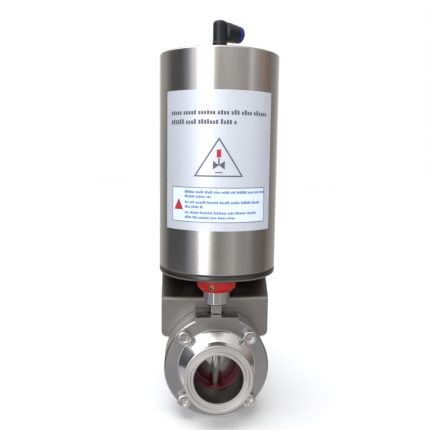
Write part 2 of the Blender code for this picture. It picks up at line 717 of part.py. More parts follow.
def make_bottom_cover():
    bush_radius, seal_radius, lip_radius = 12.2 * MM, 11.7 * MM, 9.9 * MM
    bush_floor, seal_floor = 78.2 * MM, 75.0 * MM
    profile = [
        (bush_radius, COVER_TOP),
        (SPIGOT_RADIUS, COVER_TOP),
        (SPIGOT_RADIUS, COVER_RIM_TOP),
        (SHELL_RADIUS, COVER_RIM_TOP),
        (SHELL_RADIUS, COVER_BOTTOM + 2.3 * MM),
        (SHELL_RADIUS - 0.6 * MM, COVER_BOTTOM + 0.9 * MM),
        (SHELL_RADIUS - 1.8 * MM, COVER_BOTTOM),
        (lip_radius, COVER_BOTTOM),
        (lip_radius, seal_floor),
        (seal_radius, seal_floor),
        (seal_radius, bush_floor),
        (bush_radius, bush_floor),
    ]
    cover = add_part("bottom_cover", turned_mesh(profile, FACETS_LARGE), STEEL)
    make_cover_screws(cover)
    gasket = ring(
        SPIGOT_RADIUS + 0.5 * MM, SHELL_RADIUS - 0.1 * MM, COVER_RIM_TOP + 0.15 * MM, 78.25 * MM
    )
    add_part("cover_gasket", turned_mesh(gasket, FACETS_LARGE), BLACK_RUBBER)
    bush = ring(JOURNAL_RADIUS + GAP, bush_radius - 0.2 * MM, bush_floor + GAP, 84.1 * MM)
    add_part("shaft_bush", turned_mesh(bush, FACETS_MEDIUM), BUSH_PLASTIC)
    seal = ring(JOURNAL_RADIUS + GAP, seal_radius - 0.2 * MM, 75.3 * MM, 77.9 * MM)
    add_part("shaft_seal", turned_mesh(seal, FACETS_MEDIUM), BLACK_RUBBER)


def make_label():
    """A thin curved sheet: a grid laid on the shell's radius, then made solid."""
    columns, rows = 24, 2
    work = bmesh.new()
    bmesh.ops.create_grid(work, x_segments=columns, y_segments=rows, size=1.0)
    for vert in work.verts:
        angle = LABEL_FROM + (vert.co.x + 1) / 2 * (LABEL_TO - LABEL_FROM)
        height = LABEL_LOW + (vert.co.y + 1) / 2 * (LABEL_HIGH - LABEL_LOW)
        vert.co = polar(LABEL_INNER, angle, height)
    label = add_part("label", bmesh_mesh(work), LABEL_FILM)
    solid = label.modifiers.new("thickness", "SOLIDIFY")
    solid.thickness = LABEL_THICKNESS
    faces_out = label.data.polygons[0].normal.dot(polar(1, (LABEL_FROM + LABEL_TO) / 2)) > 0
    solid.offset = 1 if faces_out else -1


# Inside the actuator -------------------------------------------------------------------------------


def make_piston():
    band_low, band_high, band_radius = 213.6 * MM, 217.2 * MM, 39.2 * MM
    seal_low, seal_high, seal_radius = 219.2 * MM, 222.6 * MM, 37.6 * MM
    stud_hole, recess = ROD_STUD_RADIUS + GAP, 8.8 * MM
    profile = [
        (recess, PISTON_TOP),
        (PISTON_RADIUS - 1 * MM, PISTON_TOP),
        (PISTON_RADIUS, PISTON_TOP - 1 * MM),
        (PISTON_RADIUS, seal_high),
        (seal_radius, seal_high),
        (seal_radius, seal_low),
        (PISTON_RADIUS, seal_low),
        (PISTON_RADIUS, band_high),
        (band_radius, band_high),
        (band_radius, band_low),
        (PISTON_RADIUS, band_low),
        (PISTON_RADIUS, PISTON_BOTTOM),
        (PISTON_BOSS_RADIUS + 2 * MM, PISTON_BOTTOM),
        (PISTON_BOSS_RADIUS, PISTON_BOTTOM - 2 * MM),
        (PISTON_BOSS_RADIUS, PISTON_BOSS_BOTTOM),
        (stud_hole, PISTON_BOSS_BOTTOM),
        (stud_hole, NUT_RECESS_FLOOR),
        (recess, NUT_RECESS_FLOOR),
    ]
    add_part("piston", turned_mesh(profile, FACETS_MEDIUM), ALUMINIUM)
    seal = ring(seal_radius + GAP, PISTON_RING_RADIUS, seal_low + GAP, seal_high - GAP)
    add_part("piston_seal", turned_mesh(seal, FACETS_LARGE), BLACK_RUBBER)
    band = ring(band_radius + GAP, PISTON_RING_RADIUS, band_low + GAP, band_high - GAP)
    add_part("piston_guide_band", turned_mesh(band, FACETS_LARGE), BUSH_PLASTIC)


def make_piston_rod():
    shoulder = PISTON_BOSS_BOTTOM - GAP
    profile = [
        (0, PISTON_TOP),
        (ROD_STUD_RADIUS - 0.5 * MM, PISTON_TOP),
        (ROD_STUD_RADIUS, PISTON_TOP - 0.5 * MM),
        (ROD_STUD_RADIUS, shoulder),
        (ROD_RADIUS, shoulder),
        (ROD_RADIUS, ROD_BOTTOM + 1 * MM),
        (ROD_RADIUS - 1 * MM, ROD_BOTTOM),
        (0, ROD_BOTTOM),
    ]
    rod = add_part("piston_rod", turned_mesh(profile, FACETS_SMALL), STEEL)
    across = along((1, 0, 0), (0, 0, PIN_Z))
    hole = prism_mesh(PIN_RADIUS + 0.15 * MM, -20 * MM, 20 * MM, FACETS_SMALL)
    combine(rod, add_cutter("rod_pin_hole", hole, across))
    pin = prism_mesh(PIN_RADIUS, -PIN_HALF_LENGTH, PIN_HALF_LENGTH, FACETS_SMALL)
    add_part("cross_pin", pin, STEEL, across)
    low = NUT_RECESS_FLOOR + GAP
    nut = add_part("piston_nut", prism_mesh(7.4 * MM, low, low + 4.6 * MM, 6), STEEL)
    thread = prism_mesh(ROD_STUD_RADIUS + 0.2 * MM, low - MM, low + 6 * MM, FACETS_SMALL)
    combine(nut, add_cutter("piston_nut_thread", thread))


def make_output_shaft():
    """A sleeve with two helical slots above, and a solid journal and a square below."""
    profile = [
        (0, SLEEVE_FLOOR),
        (SLEEVE_BORE, SLEEVE_FLOOR),
        (SLEEVE_BORE, SLEEVE_TOP),
        (SLEEVE_RADIUS, SLEEVE_TOP),
        (SLEEVE_RADIUS, SLEEVE_BOTTOM),
        (JOURNAL_RADIUS, SLEEVE_BOTTOM),
        (JOURNAL_RADIUS, JOURNAL_END),
        (0, JOURNAL_END),
    ]
    shaft = add_part("output_shaft", turned_mesh(profile, FACETS_MEDIUM), STEEL)
    half = SQUARE / 2
    square = box_mesh((-half, -half, STEM_TOP + 0.6 * MM), (half, half, JOURNAL_END + 5 * MM))
    combine(shaft, add_cutter("shaft_square", square), "UNION")
    steps = 14
    middle = (SLEEVE_BORE + SLEEVE_RADIUS) / 2
    slot_end = CAM_SLOT_RADIUS / math.hypot(middle * math.pi / 2, STROKE)
    for side, start in (("right", 0.0), ("left", math.pi)):
        points = []
        for step in range(steps + 1):
            share = -slot_end + (1 + 2 * slot_end) * step / steps
            angle = start - share * math.pi / 2
            points.append(polar(middle, angle, PIN_Z - share * STROKE))
        cutter = add_cutter(f"cam_slot_{side}", wire_mesh(points, CAM_SLOT_RADIUS))
        combine(shaft, cutter)


def make_guide_tube():
    low = COVER_TOP + GAP
    profile = [
        (GUIDE_BORE, GUIDE_TOP),
        (GUIDE_RADIUS, GUIDE_TOP),
        (GUIDE_RADIUS, low + 4 * MM),
        (GUIDE_FLANGE_RADIUS, low + 4 * MM),
        (GUIDE_FLANGE_RADIUS, low),
        (GUIDE_BORE, low),
    ]
    guide = add_part("guide_tube", turned_mesh(profile, FACETS_MEDIUM), STEEL)
    slot = box_mesh(
        (-20 * MM, -SLOT_HALF_WIDTH, PIN_Z - STROKE - SLOT_HALF_WIDTH),
        (20 * MM, SLOT_HALF_WIDTH, PIN_Z + SLOT_HALF_WIDTH),
    )
    combine(guide, add_cutter("guide_slot", slot))
    washer = ring(JOURNAL_RADIUS + GAP, GUIDE_BORE - 0.6 * MM, low, SLEEVE_BOTTOM - GAP)
    add_part("thrust_washer", turned_mesh(washer, FACETS_MEDIUM), BUSH_PLASTIC)


def make_return_spring():
    low = COVER_TOP + GAP + SPRING_WIRE_RADIUS
    high = PISTON_BOTTOM - GAP - SPRING_WIRE_RADIUS
    count = SPRING_TURNS * SPRING_STEPS_PER_TURN
    points = []
    for step in range(count + 1):
        share = step / count
        angle = 2 * math.pi * SPRING_TURNS * share
        points.append(polar(SPRING_RADIUS, angle, low + share * (high - low)))
    add_part("return_spring", wire_mesh(points, SPRING_WIRE_RADIUS), SPRING_STEEL)


# Air inlet elbow -------------------------------------------------------------------------------------


def make_elbow_stud():
    groove_high = STUD_TOP - 1.8 * MM
    groove_low = groove_high - 1.9 * MM
    shoulder = SHELL_TOP + 2.6 * MM
    profile = [
        (STUD_BORE, STUD_TOP),
        (STUD_NECK_RADIUS, STUD_TOP),
        (STUD_NECK_RADIUS, groove_high),
        (STUD_GROOVE_RADIUS, groove_high),
        (STUD_GROOVE_RADIUS, groove_low),
        (STUD_NECK_RADIUS, groove_low),
        (STUD_NECK_RADIUS, shoulder),
        (STUD_THREAD_RADIUS, shoulder),
        (STUD_THREAD_RADIUS, SHELL_CEILING + GAP),
        (STUD_BORE, SHELL_CEILING + GAP),
    ]
    stud = add_part("elbow_stud", turned_mesh(profile, FACETS_SMALL), BRASS)
    hexagon = prism_mesh(
        STUD_HEX_ACROSS / math.sqrt(3), SHELL_TOP + GAP, STUD_HEX_TOP, 6, turn=math.radians(10)
    )
    combine(stud, add_cutter("stud_hexagon", hexagon), "UNION")
    bore = prism_mesh(STUD_BORE, SHELL_CEILING - 5 * MM, STUD_TOP + 5 * MM, FACETS_SMALL)
    combine(stud, add_cutter("stud_bore", bore))
    seal = ring(
        STUD_GROOVE_RADIUS + 0.2 * MM, ELBOW_BORE - 0.15 * MM, groove_low + 0.2 * MM, groove_high - 0.2 * MM
    )
    add_part("elbow_o_ring", turned_mesh(seal, FACETS_SMALL), BLACK_RUBBER)


def make_elbow():
    """The elbow turns on its stud. Its branch points right and away from the front."""
    dome = arc((ELBOW_RADIUS - ELBOW_DOME, ELBOW_TOP - ELBOW_DOME), ELBOW_DOME, 90, 0, 4)
    profile = [(0, ELBOW_TOP)] + dome + [
        (ELBOW_RADIUS, ELBOW_BOTTOM + ELBOW_COLLAR_HEIGHT + 0.4 * MM),
        (ELBOW_COLLAR_RADIUS, ELBOW_BOTTOM + ELBOW_COLLAR_HEIGHT),
        (ELBOW_COLLAR_RADIUS, ELBOW_BOTTOM),
        (0, ELBOW_BOTTOM),
    ]
    elbow = add_part("elbow_body", turned_mesh(profile, FACETS_MEDIUM), BLACK_PLASTIC)
    branch = bpy.data.objects.new("branch_axis", None)
    branch.matrix_basis = along(polar(1, BRANCH_AZIMUTH), (0, 0, BRANCH_Z))
    PARTS.objects.link(branch)
    barrel = [
        (0, BRANCH_LENGTH),
        (BRANCH_RADIUS - 1.1 * MM, BRANCH_LENGTH),
        (BRANCH_RADIUS - 0.4 * MM, BRANCH_LENGTH - 0.7 * MM),
        (BRANCH_RADIUS, BRANCH_LENGTH - 2.4 * MM),
        (BRANCH_RADIUS, BRANCH_FOOT + 2.4 * MM),
        (BRANCH_RADIUS - 0.5 * MM, BRANCH_FOOT + 1.2 * MM),
        (BRANCH_RADIUS - 2.4 * MM, BRANCH_FOOT),
        (0, BRANCH_FOOT),
    ]
    bore = [
        (0, BRANCH_LENGTH + MM),
        (BRANCH_BORE, BRANCH_LENGTH + MM),
        (BRANCH_BORE, TUBE_STOP + 2 * MM),
        (ELBOW_BORE, TUBE_STOP + 2 * MM),
        (ELBOW_BORE, TUBE_STOP),
        (AIRWAY_RADIUS, TUBE_STOP),
        (AIRWAY_RADIUS, 0),
        (0, 0),
    ]
    stud_bore = prism_mesh(ELBOW_BORE, ELBOW_BOTTOM - MM, STUD_TOP + 2 * MM, FACETS_SMALL)
    barrel_mesh = turned_mesh(barrel, FACETS_MEDIUM)
    bore_mesh = turned_mesh(bore, FACETS_SMALL)
    combine(elbow, add_cutter("branch_barrel", barrel_mesh, parent=branch), "UNION")
    combine(elbow, add_cutter("branch_bore", bore_mesh, parent=branch))
    combine(elbow, add_cutter("elbow_stud_bore", stud_bore))
    seal_outer = BRANCH_BORE - 0.2 * MM
    seal_low = TUBE_STOP + 2.3 * MM
    collet_low = seal_low + 2.4 * MM
    rings = {
        "tube_seal": (ring(TUBE_RADIUS, seal_outer, seal_low, seal_low + 2.0 * MM), BLACK_RUBBER),
        "grip_collet": (ring(TUBE_RADIUS, seal_outer, collet_low, collet_low + 2.3 * MM), STEEL),
        "release_ring": (release_ring_profile(), BLUE_PLASTIC),
    }
    for name, (profile, material) in rings.items():
        add_part(name, turned_mesh(profile, FACETS_SMALL), material, parent=branch)


def release_ring_profile():
    """A sleeve inside the branch with a flange that a thumb pushes in by one millimetre."""
    flange_low = BRANCH_LENGTH + 1.2 * MM
    flange_high = flange_low + 3.2 * MM
    flange_radius = 6.3 * MM
    sleeve, inner_end = BRANCH_BORE - GAP, BRANCH_LENGTH - 2.7 * MM
    return [
        (TUBE_RADIUS, flange_high - 0.4 * MM),
        (TUBE_RADIUS + 0.4 * MM, flange_high),
        (flange_radius - 1.2 * MM, flange_high),
        (flange_radius, flange_high - 1.2 * MM),
        (flange_radius, flange_low),
        (sleeve, flange_low),
        (sleeve, inner_end),
        (TUBE_RADIUS, inner_end),
    ]


def make_all():
    make_body_halves()
    make_seat()
    make_disc()
    make_stem_bushes()
    make_body_bolts()
    make_coupling()
    make_indicator()
    make_bracket()
    make_shell()
    make_bottom_cover()
    make_label()
    make_piston()
    make_piston_rod()
    make_output_shaft()
    make_guide_tube()
    make_return_spring()
    make_elbow_stud()
    make_elbow()


make_all()
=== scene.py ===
"""The looks of a sanitary butterfly valve with a vertical pneumatic actuator.

Fine meshes stand for the CAD nodes that can be seen, inside the CAD model's own box, and
every node gets a procedural material. Metres, +Z up; the valve faces -Y, the bore runs
along Y and the stem along Z, and they cross at the origin.
"""

import random
from math import asin, atan2, cos, degrees, pi, radians, sin, sqrt, tan

import bmesh
import bpy
from mathutils import Matrix, Vector


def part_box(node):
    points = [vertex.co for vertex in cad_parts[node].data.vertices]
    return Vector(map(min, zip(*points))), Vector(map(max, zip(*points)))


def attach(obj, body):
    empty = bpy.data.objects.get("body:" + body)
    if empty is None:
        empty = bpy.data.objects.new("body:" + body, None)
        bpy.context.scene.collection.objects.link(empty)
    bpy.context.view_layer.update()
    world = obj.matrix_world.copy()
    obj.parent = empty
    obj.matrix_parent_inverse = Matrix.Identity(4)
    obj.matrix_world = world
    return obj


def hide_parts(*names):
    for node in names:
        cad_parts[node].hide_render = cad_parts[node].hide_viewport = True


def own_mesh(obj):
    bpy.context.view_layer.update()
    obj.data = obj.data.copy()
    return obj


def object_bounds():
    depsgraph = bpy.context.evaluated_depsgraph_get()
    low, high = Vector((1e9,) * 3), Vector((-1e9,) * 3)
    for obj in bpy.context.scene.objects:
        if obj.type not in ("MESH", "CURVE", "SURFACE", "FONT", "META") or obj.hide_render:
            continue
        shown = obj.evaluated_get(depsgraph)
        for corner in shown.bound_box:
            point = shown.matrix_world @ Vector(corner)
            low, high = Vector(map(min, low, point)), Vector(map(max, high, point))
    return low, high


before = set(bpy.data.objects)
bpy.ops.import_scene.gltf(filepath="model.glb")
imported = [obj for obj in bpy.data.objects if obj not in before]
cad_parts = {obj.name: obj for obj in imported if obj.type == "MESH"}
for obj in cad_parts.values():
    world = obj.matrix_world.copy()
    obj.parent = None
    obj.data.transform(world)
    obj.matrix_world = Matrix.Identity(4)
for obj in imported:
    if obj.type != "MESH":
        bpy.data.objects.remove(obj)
cad_low, cad_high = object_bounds()

MM = 0.001
FINEST = 256  # segments round the shell and its cover
FINE = 160  # round another large turned piece
SMALL = 64  # round a small one
GAP = 0.3 * MM
BEND_Z = 46.5 * MM  # where the bracket folds back
TO_FRONT = Matrix.Rotation(radians(90), 4, "X")  # local +Z runs to -Y
TO_REAR = Matrix.Rotation(radians(-90), 4, "X")  # local +Z runs to +Y


# Mesh helpers

TINY = 1e-7
FILLET_STEPS = 5
STRAIGHT = radians(89)  # half the angle at a corner too open for a fillet
SHARE_OF_RUN = 0.49  # the most that a fillet takes of either run beside it


def corner_arc(before, corner, after, radius):
    """The points of a fillet between two straight runs that meet at the corner."""
    back, ahead = before - corner, after - corner
    half = back.angle(ahead) / 2
    if radius <= 0 or half > STRAIGHT:
        return [corner]
    reach = min(radius / tan(half), back.length * SHARE_OF_RUN, ahead.length * SHARE_OF_RUN)
    radius = reach * tan(half)
    start, end = corner + back.normalized() * reach, corner + ahead.normalized() * reach
    centre = corner + (back.normalized() + ahead.normalized()).normalized() * radius / sin(half)
    first, last = start - centre, end - centre
    turn = -first.angle_signed(last) / FILLET_STEPS
    return [centre + Matrix.Rotation(turn * i, 2) @ first for i in range(FILLET_STEPS + 1)]


def rounded(points, closed):
    """(radius, height) or (radius, height, fillet in mm) points, with the fillets worked out."""
    places = [Vector(point[:2]) for point in points]
    outline = []
    for i, point in enumerate(points):
        fillet = point[2] * MM if len(point) > 2 else 0.0
        is_end = not closed and i in (0, len(points) - 1)
        if is_end:
            outline.append(places[i])
            continue
        after = places[(i + 1) % len(points)]
        outline += corner_arc(places[i - 1], places[i], after, fillet)
    return outline


def turned(profile, segments=FINE, matrix=None, turn=0.0):
    """A profile turned about Z. It is a closed loop, unless it starts on the axis."""
    closed = profile[0][0] > 0
    work = bmesh.new()
    rings = []
    for radius, height in rounded(profile, closed):
        if radius < TINY:
            rings.append([work.verts.new((0, 0, height))])
            continue
        angles = [turn + 2 * pi * i / segments for i in range(segments)]
        rings.append([work.verts.new(polar(radius, angle, height)) for angle in angles])
    following = rings[1:] + (rings[:1] if closed else [])
    for ring, next_ring in zip(rings, following):
        bridge(work, ring, next_ring, segments)
    return finished(work, matrix)


def bridge(work, ring, next_ring, segments):
    """Faces between two rings of points. A ring of one point is a pole."""
    for i in range(segments):
        j = (i + 1) % segments
        near = (ring[i % len(ring)], ring[j % len(ring)])
        far = (next_ring[j % len(next_ring)], next_ring[i % len(next_ring)])
        corners = list(dict.fromkeys(near + far))
        if len(corners) > 2:
            work.faces.new(corners)


def placed(name, data):
    """A new object, linked to the scene."""
    obj = bpy.data.objects.new(name, data)
    bpy.context.scene.collection.objects.link(obj)
    return obj


def finished(work, matrix=None):
    bmesh.ops.recalc_face_normals(work, faces=work.faces)
    mesh = bpy.data.meshes.new("fine")
    work.to_mesh(mesh)
    work.free()
    if matrix:
        mesh.transform(matrix)
    return mesh


def block(low, high):
    low, high = Vector(low), Vector(high)
    work = bmesh.new()
    bmesh.ops.create_cube(work, size=1.0)
    bmesh.ops.scale(work, vec=high - low, verts=work.verts)
    bmesh.ops.translate(work, vec=(low + high) / 2, verts=work.verts)
    return finished(work)


def cylinder(radius, low, high, matrix=None, segments=SMALL, turn=0.0):
    return turned([(0, low), (radius, low), (radius, high), (0, high)], segments, matrix, turn)


def plate(outline, low, high, matrix=None):
    """A flat outline in XY, extruded between two heights."""
    work = bmesh.new()
    face = work.faces.new([work.verts.new((x, y, low)) for x, y in outline])
    sides = bmesh.ops.extrude_face_region(work, geom=[face])
    moved = [item for item in sides["geom"] if isinstance(item, bmesh.types.BMVert)]
    bmesh.ops.translate(work, vec=(0, 0, high - low), verts=moved)
    return finished(work, matrix)


def modified(mesh, *modifiers):
    """The mesh after modifiers, each given as (type, settings)."""
    subject = placed("subject", mesh)
    for kind, settings in modifiers:
        modifier = subject.modifiers.new(kind.lower(), kind)
        for setting, value in settings.items():
            setattr(modifier, setting, value)
    bpy.context.view_layer.update()
    graph = bpy.context.evaluated_depsgraph_get()
    result = bpy.data.meshes.new_from_object(subject.evaluated_get(graph))
    bpy.data.objects.remove(subject, do_unlink=True)
    return result


def combined(mesh, operation, *others):
    """The mesh cut by, joined to or limited by the others, one after another."""
    tools = []
    for other in others:
        tool = placed("tool", other)
        tools.append(tool)
    steps = [("BOOLEAN", {"operation": operation, "solver": "EXACT", "object": tool}) for tool in tools]
    result = modified(mesh, *steps)
    for tool in tools:
        bpy.data.objects.remove(tool, do_unlink=True)
    return result


def cut(mesh, *others):
    return combined(mesh, "DIFFERENCE", *others)


def joined(mesh, *others):
    return combined(mesh, "UNION", *others)


def bevelled(mesh, width, segments=2, angle=35, clamp=True):
    settings = {
        "width": width,
        "segments": segments,
        "limit_method": "ANGLE",
        "angle_limit": radians(angle),
        "use_clamp_overlap": clamp,
    }
    return modified(mesh, ("BEVEL", settings))


def piece(node, mesh, look, body="housing", name=None, sharp=32):
    """A fine piece that stands for a CAD node. Its slot holds its look's material, and it is named after
    the node unless a name is given.
    """
    obj = dressed(name or f"{node}_fine", mesh, look, body, sharp)
    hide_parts(node)
    return obj


def dressed(name, mesh, look, body, sharp):
    """The mesh as an object with its look, smooth up to the sharp angle, riding on a body."""
    mesh.name = name
    mesh.materials.clear()
    mesh.materials.append(LOOKS[look])
    mesh.shade_smooth()
    mesh.set_sharp_from_angle(angle=radians(sharp))
    obj = placed(name, mesh)
    weighted = obj.modifiers.new("weighted_normal", "WEIGHTED_NORMAL")
    weighted.keep_sharp = True
    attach(obj, body)
    return obj


def polar(radius, angle, height=0.0):
    return Vector((radius * cos(angle), radius * sin(angle), height))


def along(direction, start):
    """A matrix that lays local +Z along the direction, from the start point."""
    turn = Vector(direction).to_track_quat("Z", "X").to_matrix().to_4x4()
    return Matrix.Translation(start) @ turn


def arc(centre, radius, start, end, steps):
    """Points on an arc, with both ends; angles in degrees."""
    angles = [radians(start + (end - start) * i / steps) for i in range(steps + 1)]
    return [(centre[0] + radius * cos(a), centre[1] + radius * sin(a)) for a in angles]


# Materials


class Nodes:
    """A node tree, with short calls for the nodes that the looks and the world share."""

    def __init__(self, tree):
        self.nodes = tree.nodes
        self.links = tree.links

    def add(self, kind, inputs=(), output=0, **settings):
        node = self.nodes.new(kind)
        for setting, value in settings.items():
            setattr(node, setting, value)
        for socket, value in dict(inputs).items():
            if isinstance(value, bpy.types.NodeSocket):
                self.links.new(value, node.inputs[socket])
            else:
                node.inputs[socket].default_value = value
        return node.outputs[output]

    def math(self, operation, first, second=0.0):
        return self.add("ShaderNodeMath", {0: first, 1: second}, operation=operation)

    def scaled(self, vector, scale):
        inputs = {0: vector, 1: scale}
        return self.add("ShaderNodeVectorMath", inputs, operation="MULTIPLY")

    def parts(self, vector):
        node = self.nodes.new("ShaderNodeSeparateXYZ")
        self.links.new(vector, node.inputs[0])
        return node.outputs

    def noise(self, vector, scale, detail, roughness=0.55):
        inputs = {"Vector": vector, "Scale": scale, "Detail": detail, "Roughness": roughness}
        return self.add("ShaderNodeTexNoise", inputs, output="Fac")

    def span(self, value, low, high, to_low, to_high):
        inputs = {"Value": value, "From Min": low, "From Max": high, "To Min": to_low, "To Max": to_high}
        return self.add("ShaderNodeMapRange", inputs)

    def spread(self, noise, to_low, to_high):
        """Noise stays near its middle, so the ends of its useful range are 0.3 and 0.7."""
        return self.span(noise, 0.3, 0.7, to_low, to_high)

    def mix(self, factor, first, second):
        node = self.nodes.new("ShaderNodeMix")
        node.data_type = "RGBA"
        for socket, value in ((0, factor), (6, first), (7, second)):
            if isinstance(value, bpy.types.NodeSocket):
                self.links.new(value, node.inputs[socket])
            elif socket == 0:
                node.inputs[socket].default_value = value
            else:
                node.inputs[socket].default_value = (*value, 1.0)
        return node.outputs[2]


class Look(Nodes):
    """A material round a Principled shader, with the patterns that the looks share."""

    def __init__(self, name, **fixed):
        self.material = bpy.data.materials.new(name)
        self.material.use_nodes = True
        super().__init__(self.material.node_tree)
        self.shader = self.nodes["Principled BSDF"]
        for socket, value in fixed.items():
            self.shader.inputs[socket.replace("_", " ")].default_value = value

    def place(self):
        return self.add("ShaderNodeTexCoord", output="Object")

    def drive(self, socket, value):
        self.links.new(value, self.shader.inputs[socket])

    def bump(self, height, distance):
        inputs = {"Height": height, "Distance": distance, "Strength": 1.0}
        self.drive("Normal", self.add("ShaderNodeBump", inputs))

    def round_place(self, axis):
        """Distance from an axis through the origin, depth along it, and a slow third value."""
        x, y, z = self.parts(self.place())
        side, depth = (y, z) if axis == "Z" else (z, y)
        plane = self.add("ShaderNodeCombineXYZ", {0: x, 1: side})
        radius = self.add("ShaderNodeVectorMath", {0: plane}, output="Value", operation="LENGTH")
        return radius, depth, self.math("ADD", x, side)

    def turning_marks(self, axis, across, around, detail):
        """Noise drawn out round an axis, as a lathe or a brush leaves it."""
        radius, depth, slow = self.round_place(axis)
        parts = {}
        for i, (value, scale) in enumerate(((radius, across), (depth, across), (slow, around))):
            parts[i] = self.math("MULTIPLY", value, scale)
        return self.noise(self.add("ShaderNodeCombineXYZ", parts), 1.0, detail)

    def grain(self, along_scale, across_scale):
        """Noise drawn out along X, as a rolled or linished sheet shows it."""
        vector = self.scaled(self.place(), (along_scale, across_scale, across_scale))
        return self.noise(vector, 1.0, 4.0)


def steel_look(name, marks, colours, roughness, bump, cloud_scale, **fixed):
    """Steel whose colour and roughness follow its working marks and faint cloudy smudges.

    The colours are the marks' two and the smudges'; roughness is a range and what smudges add.
    """
    look = Look(name, Metallic=1.0, **fixed)
    lines = marks(look)
    clouds = look.noise(look.place(), cloud_scale, 3.0)
    tone = look.mix(lines, colours[0], colours[1])
    shade = look.spread(clouds, 0.0, 0.35)
    look.tone = look.mix(shade, tone, colours[2])
    look.drive("Base Color", look.tone)
    rough = look.spread(lines, roughness[0], roughness[1])
    spread = look.spread(clouds, -roughness[2], roughness[2])
    look.rough = look.math("ADD", rough, spread)
    look.drive("Roughness", look.rough)
    look.bump(lines, bump)
    return look


def radial_tangent(look, axis):
    look.drive("Tangent", look.add("ShaderNodeTangent", direction_type="RADIAL", axis=axis))


def brushed_shell():
    """Brushed round the axis, so reflections are drawn out up and down."""
    look = steel_look(
        "brushed_stainless_look",
        lambda l: l.turning_marks("Z", 1400.0, 10.0, 5.0),
        ((0.66, 0.645, 0.625), (0.56, 0.545, 0.53), (0.60, 0.575, 0.55)),
        (0.15, 0.21, 0.015),
        0.004 * MM,
        cloud_scale=26.0,
        Anisotropic=0.75,
        Anisotropic_Rotation=0.25,
    )
    radial_tangent(look, "Z")
    return look.material


def turned_steel(name, axis, colours, roughness, anisotropy):
    """Lathe-turned steel, with fine rings round its axis."""
    look = steel_look(
        name,
        lambda l: l.turning_marks(axis, 2600.0, 30.0, 4.0),
        colours,
        roughness,
        0.003 * MM,
        cloud_scale=90.0,
        Anisotropic=anisotropy,
        Anisotropic_Rotation=0.25,
    )
    radial_tangent(look, axis)
    return look


def body_steel():
    """The valve body: a polished hub; a satin turned flange, rougher, whose colour is darkened and blued
    as a painted dim reflection; and a rougher bore whose near-black colour is painted shade.
    """
    colours = ((0.82, 0.815, 0.81), (0.72, 0.715, 0.71), (0.72, 0.71, 0.70))
    look = turned_steel("body_stainless_look", "Y", colours, (0.14, 0.21, 0.02), 0.6)
    radius = look.round_place("Y")[0]
    # Painted shade: inside the bore the colour is darkened to near black; the added roughness there is
    # the bore's dull finish.
    bore = look.span(radius, 18.6 * MM, 18.0 * MM, 0.0, 1.0)
    # Painted dim reflection: the flange face's colour is darkened and blued; its satin finish is the
    # roughness added below.
    flange = look.span(radius, 29.6 * MM, 30.2 * MM, 0.0, 1.0)
    tone = look.mix(look.math("MULTIPLY", flange, 0.75), look.tone, (0.28, 0.278, 0.285))
    look.drive("Base Color", look.mix(bore, tone, (0.13, 0.13, 0.125)))
    rough = look.math("ADD", look.rough, look.math("MULTIPLY", flange, 0.12))
    look.drive("Roughness", look.math("ADD", rough, look.math("MULTIPLY", bore, 0.22)))
    return look.material


def sheet_steel():
    """Linished sheet, with painted shade above the bend: its colour there darkens towards near black,
    standing in for the shade under the bracket's top plate.
    """
    look = steel_look(
        "sheet_stainless_look",
        lambda l: l.grain(60.0, 1500.0),
        ((0.43, 0.415, 0.40), (0.33, 0.315, 0.30), (0.27, 0.25, 0.235)),
        (0.27, 0.38, 0.05),
        0.006 * MM,
        cloud_scale=45.0,
    )
    height = look.round_place("Z")[1]
    # Painted shade: above the bend the sheet's colour is darkened towards near black, for the shade
    # under the top plate and the cover.
    above = look.span(height, BEND_Z - 1.0 * MM, BEND_Z + 2.0 * MM, 0.0, 0.8)
    look.drive("Base Color", look.mix(above, look.tone, (0.08, 0.072, 0.066)))
    return look.material


def plain_steel(name, colour, roughness, cloud_scale):
    """Bright fastener or spring steel: fine pits, and a darker film in the clouds."""
    darker = tuple(value * 0.8 for value in colour)
    film = tuple(value * 0.6 for value in colour)
    look = steel_look(
        name,
        lambda l: l.noise(l.place(), 2600.0, 4.0),
        (colour, darker, film),
        (roughness - 0.04, roughness + 0.05, 0.04),
        0.006 * MM,
        cloud_scale=cloud_scale,
    )
    return look.material


def moulded(name, colour, deep, roughness, grain_scale, grain_depth):
    """Plastic or rubber: a fine moulded grain, uneven sheen and faint flow marks."""
    look = Look(name)
    grain = look.noise(look.place(), grain_scale, 4.0)
    flow = look.noise(look.scaled(look.place(), (140.0, 140.0, 420.0)), 1.0, 3.0, 0.6)
    look.drive("Base Color", look.mix(look.spread(flow, 0.0, 1.0), colour, deep))
    rough = look.spread(grain, roughness[0], roughness[1])
    spread = look.spread(flow, -0.04, 0.04)
    look.drive("Roughness", look.math("ADD", rough, spread))
    look.bump(grain, grain_depth * MM)
    return look.material


def label_paper():
    """Pearly white film: a fine fibre, and soft creases that vary its sheen."""
    look = Look("label_film_look", Metallic=0.45)
    fibre = look.noise(look.scaled(look.place(), (500.0, 500.0, 900.0)), 1.0, 4.0)
    crease = look.noise(look.scaled(look.place(), (90.0, 90.0, 16.0)), 1.0, 2.0)
    look.drive("Base Color", look.mix(fibre, (0.63, 0.66, 0.73), (0.59, 0.62, 0.70)))
    look.drive("Roughness", look.spread(crease, 0.36, 0.46))
    both = look.math("ADD", look.math("MULTIPLY", fibre, 0.12), crease)
    look.bump(both, 0.02 * MM)
    return look.material


def ink(name, colour, thin):
    """Printed ink, with the slightly uneven cover of a screen print."""
    look = Look(name, Specular_IOR_Level=0.4)
    cover = look.noise(look.place(), 1800.0, 3.0)
    look.drive("Base Color", look.mix(look.span(cover, 0.35, 0.75, 0.0, 1.0), colour, thin))
    look.drive("Roughness", look.spread(cover, 0.35, 0.5))
    look.bump(cover, 0.002 * MM)
    return look.material


